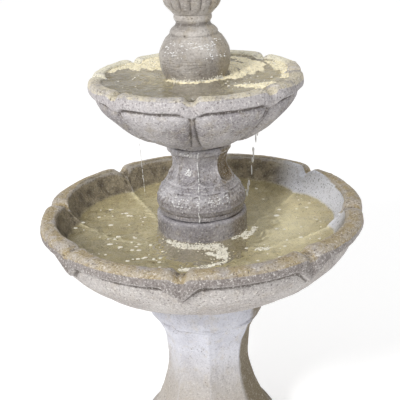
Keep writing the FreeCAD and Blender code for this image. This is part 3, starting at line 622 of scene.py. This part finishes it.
# Outlines (radius, height): LINE is an outer face from foot to top, FACE the flat of a
# facet, BORE or HOLLOW an inner face from top to foot.
PEDESTAL_LINE = [
    (0.1835, 0.0), (0.186, 0.0025), (0.186, 0.022), (0.1845, 0.024), (0.179, 0.030), (0.179, 0.034),
    [(0.186, 0.046), (0.193, 0.074), (0.189, 0.104)], (0.193, 0.107), (0.193, 0.109), (0.188, 0.114),
    [(0.180, 0.132), (0.174, 0.160)], (0.174, 0.436), (0.156, 0.4455), (0.154, 0.447), (0.1545, 0.450),
    [(0.158, 0.460), (0.160, 0.480)], (0.160, 0.5105), (0.1585, 0.512)]
PEDESTAL_FACE = [
    (0.205, 0.0), (0.205, 0.078), [(0.165, 0.112), (0.1276, 0.189), (0.1094, 0.260), (0.107, 0.310),
    (0.112, 0.366), (0.121, 0.388)], (0.142, 0.440), (0.165, 0.4475), (0.165, 0.512)]
PEDESTAL_HOLLOW = [(0.104, 0.512), (0.104, 0.450), (0.074, 0.390), (0.074, 0.240),
                   [(0.082, 0.210), (0.122, 0.130), (0.150, 0.060)], (0.150, 0.0)]
DRUM_LINE = [(0.1195, 0.553), (0.121, 0.5545), (0.121, 0.7355), (0.1195, 0.742), (0.115, 0.745)]
DRUM_BORE = [(0.097, 0.745), (0.097, 0.553)]
COLUMN_LINE = [
    (0.110, 0.747), (0.113, 0.750), (0.113, 0.757), (0.1115, 0.760), [(0.1165, 0.764), (0.1185, 0.772)],
    (0.120, 0.7755), (0.120, 0.777), (0.118, 0.781), [(0.1165, 0.790), (0.111, 0.804), (0.1035, 0.8155)],
    (0.1060, 0.8175), (0.1060, 0.8215), (0.0985, 0.8245), [(0.094, 0.832), (0.088, 0.842), (0.0845, 0.856)],
    (0.084, 0.915), (0.0848, 0.918), (0.0848, 0.927), (0.081, 0.931)]
COLUMN_FACE = [(0.0925, 0.832), [
    (0.0780, 0.846), (0.069, 0.864), (0.0662, 0.884), (0.070, 0.902), (0.077, 0.914)]]
COLUMN_BORE = [(0.038, 0.931), (0.038, 0.747)]
BALL_LINE = [
    (0.070, 0.992), (0.070, 1.004), [(0.058, 1.024), (0.052, 1.060)], (0.0495, 1.082),
    [(0.066, 1.096), (0.078, 1.110), (0.087, 1.133), (0.0900, 1.157), (0.087, 1.180), (0.0727, 1.208)],
    (0.064, 1.2155), (0.060, 1.2195), (0.0612, 1.221), (0.0612, 1.224),
    [(0.057, 1.230), (0.045, 1.240), (0.0435, 1.248)],
    (0.0475, 1.2525), (0.0485, 1.255), (0.0485, 1.262), (0.0465, 1.267), (0.046, 1.268)]
BALL_BORE = [(0.014, 1.268), (0.014, 1.014), (0.027, 1.014), (0.027, 0.992)]
BUD_LINE = [
    (0.0500, 1.268), (0.0520, 1.271), [(0.058, 1.277), (0.069, 1.290), (0.0745, 1.307), (0.0770, 1.325),
    (0.074, 1.346), (0.064, 1.366), (0.048, 1.382), (0.030, 1.390)], (0.020, 1.392)]
BUD_BORE = [(0.0115, 1.392), (0.0115, 1.372), (0.014, 1.370), (0.014, 1.268)]


# ---- materials ----
def srgb(red, green, blue):
    """Linear colour from the usual 0 to 255 numbers."""
    return tuple(v / 12.92 if v <= 0.04045 else ((v + 0.055) / 1.055) ** 2.4
                 for v in (red / 255, green / 255, blue / 255))


# Colour of the painted shade in crevices.
CREVICE_SHADE = srgb(66, 56, 46)
PIT = srgb(70, 62, 56)
DARK_GRIT = srgb(84, 76, 72)
PALE_GRIT = srgb(240, 236, 232)
BED = (srgb(206, 193, 150), srgb(232, 222, 186))
SHALLOW_BED = srgb(168, 156, 122)
SUNLIT_BED = srgb(255, 248, 214)
MOSS_AND_SHADE = (126, 108, 76)


def stone(name, pale, shade, stain, wet=0.0, streaks=0.4, rough_cast=1.0, tooled=0.0, crevice_shade=0.75,
          moss_and_shade=None, lower_tint=None, basin=None):
    """Cast stone: cloudy body colour, mineral streaks, salt-and-pepper aggregate, dark pits and
    painted shade in crevices.  moss_and_shade colours the side away from the light, as moss and
    painted shade.  lower_tint is a colour that comes in between two heights, darker towards the
    bottom.  basin adds what the water does to a bowl, and the painted sheen on its wall and
    painted light on its bed; it holds their colours."""
    m = Shade(name)
    pale, shade, stain = srgb(*pale), srgb(*shade), srgb(*stain)
    colour = m.mix(m.step(m.noise(0.10, 4.0), 0.35, 0.65), shade, pale)
    colour = m.mix(m.times(m.step(m.noise(0.030, 5.0, 0.65), 0.48, 0.68), 0.60), colour, stain)
    run = m.step(m.noise(0.020, 4.0, 0.6, m.stretch(1, 1, 0.16)), 0.52, 0.74)
    colour = m.mix(m.times(run, streaks), colour, pale)
    above_ground = m.add("ShaderNodeSeparateXYZ", Vector=m.where).outputs["Z"]
    # A colour that comes in going down, darker towards the bottom.
    if lower_tint:
        tint_top_z, tint_bottom_z, lower_tint_colour = lower_tint
        colour = m.mix(m.step(above_ground, tint_top_z, tint_bottom_z, 0.0, 0.8), colour, srgb(*lower_tint_colour))
    # Moss and painted shade on the side away from the light.
    if moss_and_shade:
        cover = m.times(m.mask("moss_and_shade"), m.step(m.noise(0.03, 6.0, 0.7), 0.25, 0.50, 0.55, 1.0))
        colour = m.mix(cover, colour, srgb(*moss_and_shade))
    if basin:
        water_z = basin["water_z"]
        colour = m.mix(m.times(m.mask("fascia"), 0.92), colour, srgb(*basin["band"]))
        rubbed = m.times(m.mask("lip"), m.step(m.noise(0.05, 6.0, 0.7), 0.30, 0.56))
        colour = m.mix(m.times(rubbed, 0.88), colour, srgb(*basin["film"]))
        inner = m.mask("inside")
        damp = m.times(inner, m.step(above_ground, water_z + 0.008, water_z - 0.004))
        wall = m.mix(m.step(m.noise(0.030, 6.0, 0.7), 0.35, 0.65), *(srgb(*c) for c in basin["walls"]))
        colour = m.mix(m.times(m.maths("SUBTRACT", inner, m.mask("lip"), True), 0.9), colour, wall)
        # Painted sheen on the wall where light falls on it.
        colour = m.mix(m.times(m.mask("pale"), 0.92), colour, srgb(*basin["painted_sheen"]))
        bed = m.mix(m.step(m.noise(0.07, 4.0), 0.30, 0.70), *BED)
        shallow = m.step(above_ground, water_z - 0.050, water_z - 0.010, 0.0, 0.55)
        # Painted highlights on the bed's ridges and painted sunlight on its sunlit side.
        bed = m.mix(m.mask("painted_bed_light"), m.mix(shallow, bed, SHALLOW_BED), SUNLIT_BED)
        colour = m.mix(m.times(damp, 0.92), colour, bed)
    # Painted shade in creases and crevices, less where the wall has painted sheen.
    crease_shade = m.step(m.mask("hollow"), 0.06, 0.75)
    if basin:
        crease_shade = m.times(crease_shade, m.step(m.mask("pale"), 0.0, 1.0, 1.0, 0.15))
    colour = m.mix(m.times(crease_shade, crevice_shade), colour, CREVICE_SHADE)
    worn = m.step(m.mask("hollow"), -0.10, -0.60)
    colour = m.mix(m.times(worn, 0.40), colour, pale)
    grit = m.noise(0.0050, 4.0, 0.75)
    colour = m.mix(m.step(grit, 0.54, 0.66, 0.0, 0.50 * rough_cast), colour, DARK_GRIT)
    fleck = m.step(grit, 0.46, 0.34, 0.0, 0.42 * rough_cast)
    if basin:
        fleck = m.times(fleck, m.step(inner, 0.0, 1.0, 1.0, 0.35))
    colour = m.mix(fleck, colour, PALE_GRIT)
    pit = m.times(m.step(m.grains(0.011), 0.22, 0.08), m.step(m.noise(0.06, 2.0), 0.50, 0.64))
    colour = m.mix(m.times(pit, 0.65), colour, PIT)
    rough = m.step(m.noise(0.018, 4.0), 0.3, 0.7, 0.86 - 0.62 * wet, 0.70 - 0.56 * wet)
    coarse = m.noise(0.014, 6.0, 0.66)
    if tooled:
        rings = m.noise(0.03, 4.0, 0.6, m.stretch(0.5, 0.5, 9))
        coarse = m.maths("ADD", coarse, m.times(rings, tooled))
    height = m.maths("ADD", coarse, m.times(grit, 0.45 * rough_cast))
    normal = m.bump(m.maths("SUBTRACT", height, m.times(pit, 0.5)), 0.0042, 1.0)
    return m.finish(Base_Color=colour, Roughness=rough, Specular_IOR_Level=0.35 + 0.3 * wet, Normal=normal)


pedestal_stone = stone(
    "pedestal cast stone", (212, 213, 222), (190, 190, 199), (198, 192, 186), streaks=0.5, rough_cast=0.8,
    crevice_shade=0.3, moss_and_shade=(118, 106, 82), lower_tint=(0.40, 0.18, (172, 163, 150)))
basin_stone = stone(
    "lower basin cast stone", (194, 189, 186), (168, 161, 158), (182, 172, 160), rough_cast=1.7, basin=dict(
        water_z=LOWER_WATER_Z, band=(122, 114, 111), film=(172, 153, 112),
        walls=((112, 100, 76), (164, 152, 124)), painted_sheen=(238, 240, 248)))
upper_stone = stone(
    "upper basin cast stone", (192, 188, 190), (148, 143, 146), (168, 158, 144), rough_cast=1.7, basin=dict(
        water_z=UPPER_WATER_Z, band=(188, 183, 184), film=(216, 206, 180),
        walls=((176, 164, 138), (222, 212, 186)), painted_sheen=(248, 243, 220)))
wet_stone = stone(
    "wet cast stone", (206, 203, 207), (156, 152, 157), (156, 147, 137), wet=0.9, rough_cast=1.6, crevice_shade=0.5,
    moss_and_shade=MOSS_AND_SHADE, lower_tint=(0.806, 0.786, (138, 132, 134)))
soaked_stone = stone(
    "soaked cast stone", (176, 172, 177), (128, 124, 129), (138, 130, 122), wet=0.9, streaks=0.5,
    rough_cast=1.3, moss_and_shade=MOSS_AND_SHADE)
finial_stone = stone(
    "finial cast stone", (201, 195, 189), (153, 146, 140), (168, 157, 138), wet=0.8, tooled=0.8,
    moss_and_shade=(164, 148, 116))


def metal(name, colour, dull, roughness, grain=0.004):
    """Bright or tarnished metal with fine drawn marks."""
    m = Shade(name)
    marks = m.noise(grain, 3.0, 0.6, m.stretch(1, 1, 0.12))
    tarnish = m.step(m.noise(0.012, 5.0, 0.65), 0.45, 0.70)
    colour = m.mix(m.times(tarnish, 0.6), srgb(*colour), srgb(*dull))
    rough = m.step(tarnish, 0.0, 1.0, roughness, roughness + 0.25)
    return m.finish(Base_Color=colour, Metallic=1.0, Roughness=rough, Normal=m.bump(marks, 0.0003, 0.5))


def moulded(name, colour, roughness, grain, depth=0.0003):
    """Moulded plastic, rubber, ceramic or pressed powder, slightly uneven in colour."""
    m = Shade(name)
    tone = m.step(m.noise(0.02, 4.0), 0.3, 0.7)
    darker = tuple(int(0.78 * c) for c in colour)
    scum = m.step(m.noise(0.008, 5.0, 0.7), 0.58, 0.74)
    shown = m.mix(m.times(scum, 0.35), m.mix(tone, srgb(*darker), srgb(*colour)), srgb(150, 142, 116))
    return m.finish(Base_Color=shown, Roughness=m.step(tone, 0.0, 1.0, roughness, roughness + 0.12),
                    Normal=m.bump(m.noise(grain, 3.0), depth, 0.6))


def clear_hose():
    m = Shade("clear vinyl")
    haze = m.step(m.noise(0.01, 4.0), 0.3, 0.7, 0.12, 0.30)
    return m.finish(Base_Color=(0.86, 0.90, 0.86), Roughness=haze, IOR=1.50, Transmission_Weight=0.75,
                    Normal=m.bump(m.noise(0.004, 3.0), 0.0002, 0.5))


def open_foam():
    m = Shade("filter foam")
    cells = m.grains(0.0022)
    colour = m.mix(m.step(cells, 0.15, 0.45), srgb(20, 22, 20), srgb(74, 78, 70))
    return m.finish(Base_Color=colour, Roughness=0.95, Normal=m.bump(cells, 0.0012, 1.0))


# Plain materials for the CAD pieces inside, by their material slot.
INNER = {
    "black_rubber": moulded("black rubber", (44, 44, 46), 0.62, 0.002),
    "grey_pvc": moulded("grey pvc", (138, 142, 146), 0.38, 0.003),
    "clear_vinyl": clear_hose(),
    "copper": metal("enamelled copper", (196, 112, 70), (120, 74, 48), 0.28, 0.0015),
    "brass": metal("brass", (206, 172, 98), (128, 104, 62), 0.26),
    "stainless": metal("stainless steel", (196, 198, 200), (150, 148, 140), 0.22),
    "pump_plastic": moulded("black pump plastic", (36, 38, 42), 0.36, 0.0025),
    "impeller_plastic": moulded("blue impeller plastic", (60, 96, 150), 0.34, 0.0025),
    "ferrite": moulded("ferrite magnet", (58, 56, 56), 0.44, 0.0012),
    "core_iron": metal("laminated core iron", (120, 122, 128), (84, 70, 58), 0.42, 0.0010),
    "white_ceramic": moulded("white ceramic", (232, 230, 222), 0.16, 0.004, 0.0001),
    "filter_foam": open_foam(),
}
for row in frame["record"]["subparts"]:
    if row["material_slot"] in INNER:
        for held in bpy.data.objects[row["node"]].material_slots:
            held.material = INNER[row["material_slot"]]


# ---- the castings ----
def cast(piece, body, node):
    """Puts a casting in place of its CAD node."""
    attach(piece, body)
    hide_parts(node)


cast(turned_piece("pedestal_casting", PEDESTAL_LINE, PEDESTAL_HOLLOW, 480, pedestal_stone, 3, 0.0008,
                  step=0.0038, radius=pedestal_radius, chips=60, moss_and_shade=0.95, moss_and_shade_from=51.0),
     "base", "pedestal")
cast(bowl("lower_bowl_casting", LOWER, basin_stone), "lower_bowl_body", "lower_bowl")
cast(turned_piece("pump_drum_casting", DRUM_LINE, DRUM_BORE, 360, soaked_stone, 5, 0.0006),
     "drum_body", "pump_drum")
cast(turned_piece("column_casting", COLUMN_LINE, COLUMN_BORE, 480, wet_stone, 6, 0.0007, step=0.0018,
                  radius=column_radius, chips=60, moss_and_shade=1.0, moss_and_shade_foot=PANEL_FOOT),
     "column_body", "column")
cast(bowl("upper_bowl_casting", UPPER, upper_stone), "upper_bowl_body", "upper_bowl")
cast(turned_piece("finial_ball_casting", BALL_LINE, BALL_BORE, 360, finial_stone, 8, 0.0006),
     "ball_body", "finial_ball")
cast(turned_piece("finial_bud_casting", BUD_LINE, BUD_BORE, 448, finial_stone, 9, 0.0006, step=0.002,
                  radius=bud_radius), "bud_body", "finial_bud")


# ---- water ----
def spot(az, r):
    """Plan position from an angle in degrees and a radius."""
    return np.array([r * math.sin(math.radians(az)), -r * math.cos(math.radians(az))])


def sweeps(*rows):
    """Spots along arcs.  A row is the angle and the radius at both ends, and a count."""
    return [spot(az_from + (az_to - az_from) * t, r_from + (r_to - r_from) * t)
            for az_from, az_to, r_from, r_to, count in rows for t in np.linspace(0, 1, count)]


def patches(plan, spots, width):
    """1 on the given spots, fading out over the width."""
    total = np.zeros(plan.shape[:-1])
    for centre in spots:
        total = np.maximum(total, bell(np.linalg.norm(plan - centre, axis=-1), width))
    return total


def water_material(name, clear, murk, murk_share, gaps, foam):
    """Clear water with a little mud in it, foamy where the mask says so.  gaps is how dense
    the foam is in the middle of its bubbles."""
    m = Shade(name)
    ripples = m.times(m.noise(0.009, 2.0, 0.5), 0.3)
    normal = m.bump(m.maths("ADD", m.noise(0.030, 3.0, 0.5), ripples), 0.0020, 0.7)
    body = m.add("ShaderNodeBsdfPrincipled", Base_Color=clear, Roughness=0.03, IOR=1.333,
                 Transmission_Weight=1.0, Normal=normal)
    mud = m.add("ShaderNodeBsdfPrincipled", Base_Color=murk, Roughness=0.25, IOR=1.333, Normal=normal)
    cloud = m.step(m.noise(0.09, 3.0), 0.3, 0.7, 0.6 * murk_share, 1.4 * murk_share)
    cells = m.grains(0.0085)
    lace = m.maths("ADD", m.mask("foam"), m.times(m.noise(0.010, 4.0, 0.65), 0.9))
    white = m.times(m.step(lace, 0.80, 1.05), m.step(cells, 0.20, 0.44, gaps, 0.92))
    froth = m.add("ShaderNodeBsdfPrincipled", Base_Color=foam, Roughness=0.4,
                  Normal=m.bump(cells, 0.003, 1.0))
    top = m.layers(white, m.layers(cloud, body.outputs[0], mud.outputs[0]), froth.outputs[0])
    passing = m.add("ShaderNodeBsdfTransparent").outputs[0]
    is_shadow = m.add("ShaderNodeLightPath").outputs["Is Shadow Ray"]
    m.feed(m.out.inputs["Surface"], m.layers(is_shadow, top, passing))
    return m.material


def pool(name, spec, level, core, steps, rings, seed, foam, drips, material):
    """Closed body of water in a bowl: the bed, the rippled top, and the side round what
    stands in the middle."""
    overlap = 0.003  # how far the water reaches into the stone
    theta = around(steps, spec["notch"])
    r_in, z_in = inside_rows(spec, theta, overlap)
    n_in = r_in.shape[1]
    last = np.minimum(n_in - 1 - np.argmax((z_in < level)[:, ::-1], axis=1), n_in - 2)
    row = np.arange(steps)
    share = (level - z_in[row, last]) / (z_in[row, last + 1] - z_in[row, last])
    shore = r_in[row, last] + (r_in[row, last + 1] - r_in[row, last]) * share
    core = np.array(core)
    r_bed = core[-1, 0] + (shore[:, None] - core[-1, 0]) * np.linspace(0, 1, 26)[None]
    z_bed = np.stack([np.interp(r_bed[i], r_in[i, :last[i] + 1], z_in[i, :last[i] + 1]) for i in row])
    z_bed[:, -1] = level - 0.001
    r_top = core[0, 0] + (shore[:, None] - core[0, 0]) * np.linspace(1, 0, rings)[None]
    flat = place(theta[:, None], r_top, level + 0 * r_top)
    plan = flat[..., :2]
    z_top = level + 0.0008 * lumps(flat, 0.050, seed) + 0.0004 * lumps(flat, 0.018, seed + 1)
    ring_height, ring_length, ring_reach = 0.0016, 0.017, 0.045
    for centre in drips:
        away = np.linalg.norm(plan - centre, axis=-1)
        z_top = z_top + ring_height * np.cos(away * 2 * math.pi / ring_length) * np.exp(-away / ring_reach)
    spill = notch_depth(np.abs(turn_from(theta, spec["notch"], LOBE)) * spec["rim_r"], spec)[:, None]
    z_top = z_top - spec["spill"] * spill * ramp(r_top, shore[:, None] - 0.025, shore[:, None])
    # Foam; on the upper water the mask also paints the sky's reflection as pale patches.
    white = patches(plan, foam["spots"], foam["width"])
    z_top = z_top + white * (0.0016 + 0.0012 * lumps(flat, 0.008, seed + 2))
    climb, climb_w = 0.0016, 0.004  # where the water wets the stone
    z_top = z_top + climb * (bell(shore[:, None] - r_top, climb_w) + bell(r_top - core[0, 0], climb_w))
    r_core = np.broadcast_to(core[None, 1:-1, 0], (steps, len(core) - 2))
    z_core = np.broadcast_to(core[None, 1:-1, 1], r_core.shape)
    r = np.concatenate([r_bed, r_top, r_core], axis=1)
    z = np.concatenate([z_bed, z_top, z_core], axis=1)
    mask = np.zeros(r.shape)
    mask[:, r_bed.shape[1]:r_bed.shape[1] + rings] = white
    return put(grid_object(name, place(theta[:, None], r, z), {"foam": mask}), material)


LOWER_FOAM = dict(width=0.0085, spots=sweeps(
    (-45, 17, 0.133, 0.140, 30), (-31, 14, 0.147, 0.153, 22), (6, 19, 0.165, 0.168, 6),
    (17, 14, 0.172, 0.224, 9), (13, 10, 0.182, 0.212, 6), (3, 9, 0.186, 0.196, 4),
    (12, -12, 0.240, 0.278, 14), (39, 60, 0.128, 0.132, 8), (48, 76, 0.148, 0.142, 8),
    (38, 43, 0.222, 0.236, 4)))
LOWER_DRIPS = [spot(135, 0.225), spot(60, 0.145), spot(5, 0.200), spot(-146, 0.300), spot(-40, 0.170)]
# Foam, and to the right pale patches that paint the sky's reflection on the ripples.
UPPER_FOAM_AND_GLINT = dict(width=0.0135, spots=sweeps(
    (-55, 60, 0.081, 0.082, 22), (55, 120, 0.095, 0.105, 10), (60, 122, 0.115, 0.135, 10),
    (85, 125, 0.142, 0.163, 7), (37, 57, 0.168, 0.222, 10), (41, 54, 0.192, 0.240, 8),
    (73, 118, 0.231, 0.222, 14), (86, 114, 0.236, 0.236, 9), (95, 112, 0.214, 0.220, 5),
    (92, 140, 0.165, 0.185, 14), (105, 145, 0.143, 0.150, 10), (112, 150, 0.190, 0.207, 12),
    (122, 146, 0.118, 0.126, 8), (-109, -173, 0.236, 0.236, 30), (-116, -182, 0.218, 0.218, 26),
    (-123, -174, 0.198, 0.198, 22), (-119, -166, 0.178, 0.178, 20), (-128, -171, 0.158, 0.158, 18),
    (-124, -160, 0.138, 0.138, 16), (-131, -154, 0.118, 0.118, 14)))
UPPER_DRIPS = [spot(70, 0.105), spot(-70, 0.120), spot(10, 0.110), spot(105, 0.180)]
olive_water = water_material("basin water", srgb(250, 248, 234), srgb(204, 192, 152), 0.24, 0.0,
                             srgb(252, 248, 234))
pale_water = water_material("upper water", srgb(250, 248, 240), srgb(164, 157, 142), 0.50, 0.62,
                            srgb(255, 245, 212))


def water_piece(piece, body):
    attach(piece, body)


drum_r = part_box("pump_drum")[1].x - 0.002
DRUM_SIDE = [(drum_r, LOWER_WATER_Z), (drum_r, 0.62), (drum_r, 0.549)]
BALL_SIDE = [(0.0755, UPPER_WATER_Z), (0.0640, 1.096), (0.048, 1.083), (0.050, 1.060), (0.056, 1.025),
             (0.068, 1.003), (0.068, 0.989)]
water_piece(pool("lower_water", LOWER, LOWER_WATER_Z, DRUM_SIDE, 480, 130, 51, LOWER_FOAM, LOWER_DRIPS,
                 olive_water), "lower_bowl_body")
water_piece(pool("upper_water", UPPER, UPPER_WATER_Z, BALL_SIDE, 480, 90, 61, UPPER_FOAM_AND_GLINT, UPPER_DRIPS,
                 pale_water), "upper_bowl_body")


# ---- bubbles, drops and falling water, the white ones as painted glints ----
def beads(name, body, material, *sets):
    """Many small rounded blobs as one piece of water.  A set is their centres, and their half
    widths along x, y and z."""
    shape = bmesh.new()
    bmesh.ops.create_icosphere(shape, subdivisions=2, radius=1.0)
    ball = np.array([v.co[:] for v in shape.verts])
    faces = np.array([[v.index for v in f.verts] for f in shape.faces])
    shape.free()
    centres, sizes = (np.vstack(column) for column in zip(*sets))
    points = (centres[:, None] + ball[None] * sizes[:, None]).reshape(-1, 3)
    faces = (faces[None] + len(ball) * np.arange(len(centres))[:, None, None]).reshape(-1, 3)
    water_piece(put(mesh_object(name, points, faces), material), body)


def froth_material(name, colour, roughness, clear):
    m = Shade(name)
    dim = tuple(0.82 * c for c in colour)
    return m.finish(Base_Color=m.mix(m.step(m.noise(0.006, 2.0), 0.35, 0.65), dim, colour),
                    Roughness=roughness, IOR=1.333, Transmission_Weight=clear)


def froth(spots, level, count, seed, spread, tall):
    """Bubbles piled over the foamy spots, smallest furthest up."""
    rng = np.random.default_rng(seed)
    plan = np.array(spots)[rng.integers(0, len(spots), count)] + rng.normal(0, spread, (count, 2))
    half = rng.uniform(0.0009, 0.0024, count)
    z = level + 0.001 + rng.exponential(tall, count)
    half *= np.exp(-(z - level) / 0.03)
    return np.column_stack([plan, z]), np.column_stack([half, half, 0.8 * half])


def scatter(count, seed, az, r, level, half):
    """Loose bubbles and scum floating on the water."""
    rng = np.random.default_rng(seed)
    plan = np.stack([spot(a, d) for a, d in zip(rng.uniform(*az, count), rng.uniform(*r, count))])
    wide = half * rng.uniform(0.35, 1.0, count) ** 1.5
    long = wide * rng.uniform(1.0, 1.8, count)
    tall = 0.0009 + 0.25 * wide
    return np.column_stack([plan, np.full(count, level + 0.0008)]), np.column_stack([long, wide, tall])


def fall(start, end, thick, seed, whole):
    """A thread of falling water, whole for a share of its way and then broken into drops."""
    rng = np.random.default_rng(seed)
    start = Vector(start)
    end = Vector(end)
    places = []
    sizes = []
    t = 0.0
    while t < 1.0:
        keep = t < whole or rng.uniform() < 0.72
        tall = rng.uniform(2.0, 5.0) * thick
        if keep:
            at = start.lerp(end, t) + Vector((*rng.normal(0, 0.35 * thick, 2), 0.0))
            bow = 0.012 * math.sin(math.pi * t)
            places.append((at.x, at.y - bow, at.z))
            wide = thick * rng.uniform(0.55, 1.15)
            sizes.append((wide, wide, tall))
        t += 1.4 * tall / (start - end).length
    return np.array(places), np.array(sizes)


def clinging(line, shape, count, seed, az, height):
    """Drops clinging to a wet turned face, whose radius shape may change; white, as painted glints."""
    rng = np.random.default_rng(seed)
    points = outline(*line, step=0.002)
    theta = np.radians(rng.uniform(*az, count))
    z = rng.uniform(*height, count)
    order = np.argsort(points[:, 1], kind="stable")
    r = np.interp(z, points[order, 1], points[order, 0])
    if shape:
        r = np.diag(shape(theta, z, r))
    wide = rng.uniform(0.0006, 0.0016, count)
    return place(theta, r, z), np.column_stack([1.7 * wide, 1.7 * wide, 0.8 * wide])


def trickle(seed):
    """A broken run of water that wanders down the front of the column."""
    r, z = outline(*COLUMN_LINE, step=0.0035)[::-1].T
    rng = np.random.default_rng(seed)
    theta = math.radians(-3.5) + 0.012 * lumps(place(0 * r, r, z), 0.03, seed + 1)
    path = place(theta, np.diag(column_radius(theta, z, r)) + 0.0002, z)[rng.uniform(size=len(r)) < 0.7]
    wide = rng.uniform(0.0006, 0.0014, len(path))
    return path, np.column_stack([wide, 0.7 * wide, 2.6 * wide])


def from_upper_rim(az, r, lands_at, thick, seed, whole):
    return fall((*spot(az, r), UPPER_RIM_Z - 0.022), (*spot(*lands_at), LOWER_WATER_Z), thick, seed, whole)


cream = froth_material("froth", srgb(254, 250, 238), 0.30, 0.05)
# Pure white, so that the clinging drops, the trickle and the falling threads show as painted glints.
falling = froth_material("falling water", srgb(255, 255, 255), 0.25, 0.0)
beads("lower_froth", "lower_bowl_body", cream,
      froth(LOWER_FOAM["spots"], LOWER_WATER_Z, 420, 71, 0.009, 0.0025),
      scatter(26, 72, (-62, -20), (0.17, 0.33), LOWER_WATER_Z, 0.0045),
      scatter(34, 73, (-120, -60), (0.16, 0.36), LOWER_WATER_Z, 0.0050),
      scatter(30, 74, (20, 110), (0.19, 0.33), LOWER_WATER_Z, 0.0048),
      scatter(14, 75, (110, 165), (0.18, 0.33), LOWER_WATER_Z, 0.0045))
beads("upper_froth", "upper_bowl_body", cream,
      froth(UPPER_FOAM_AND_GLINT["spots"], UPPER_WATER_Z, 260, 81, 0.006, 0.0018),
      froth(sweeps((-42, 52, 0.082, 0.082, 30)), UPPER_WATER_Z, 260, 84, 0.0022, 0.0050),
      scatter(24, 82, (20, 120), (0.10, 0.21), UPPER_WATER_Z, 0.0030),
      scatter(10, 83, (-120, -20), (0.10, 0.21), UPPER_WATER_Z, 0.0026))
beads("column_trickle_and_glint_drops", "column_body", falling, trickle(96), *(
    clinging(COLUMN_LINE, column_radius, *row) for row in (
        (46, 98, (-42, -2), (0.789, 0.812)), (40, 99, (2, 40), (0.789, 0.812)),
        (34, 100, (-37, -22), (0.858, 0.876)), (20, 101, (-34, -12), (0.916, 0.926)))))
beads("ball_glint_drops", "ball_body", falling, *(clinging(BALL_LINE, None, *row) for row in (
    (40, 102, (-62, -20), (1.170, 1.206)), (46, 103, (18, 62), (1.165, 1.210)),
    (26, 104, (-15, 20), (1.190, 1.208)))))
beads("falling_water", "upper_bowl_body", falling,
      from_upper_rim(132, 0.262, (141, 0.206), 0.0034, 91, 0.45),
      from_upper_rim(-138, 0.262, (-146, 0.300), 0.0009, 94, 0.50))


# ---- studio ----
FLOOR_HALF = 30.0
PAPER = srgb(240, 240, 240)
LEFT_GLOW = 0.88  # of the sky, which fades across to the right
RIGHT_GLOW = 0.56
KEY_AIM = Vector((0.0, 0.0, 0.7))

corners = [(x * FLOOR_HALF, y * FLOOR_HALF, 0.0) for x, y in ((-1, -1), (1, -1), (1, 1), (-1, 1))]
floor = mesh_object("studio_floor", corners, [(0, 1, 2, 3)], smooth=False)
put(floor, Shade("studio floor").finish(Base_Color=PAPER, Roughness=0.9, Emission_Color=PAPER,
                                        Emission_Strength=0.42))
world = bpy.data.worlds.new("studio")
world.use_nodes = True
sky = world.node_tree
towards = sky.nodes.new("ShaderNodeTexCoord")
split = sky.nodes.new("ShaderNodeSeparateXYZ")
sky.links.new(towards.outputs["Generated"], split.inputs[0])
side = sky.nodes.new("ShaderNodeMapRange")
for key, number in (("From Min", -1.0), ("From Max", 1.0), ("To Min", LEFT_GLOW), ("To Max", RIGHT_GLOW)):
    side.inputs[key].default_value = number
sky.links.new(split.outputs["X"], side.inputs["Value"])
sky.links.new(side.outputs["Result"], sky.nodes["Background"].inputs["Strength"])
sky.nodes["Background"].inputs["Color"].default_value = (1.0, 1.0, 1.0, 1.0)
bpy.context.scene.world = world
bpy.context.scene.view_settings.view_transform = "Standard"
key_data = bpy.data.lights.new("key", "AREA")
key_data.shape = "DISK"
key_data.size = 0.8
key_data.energy = 100.0
key_data.color = (1.0, 0.99, 0.97)
key_lamp = bpy.data.objects.new("key", key_data)
key_lamp.location = (-1.9, -3.1, 3.2)
key_lamp.rotation_euler = (KEY_AIM - key_lamp.location).to_track_quat("-Z", "Y").to_euler()
bpy.context.scene.collection.objects.link(key_lamp)
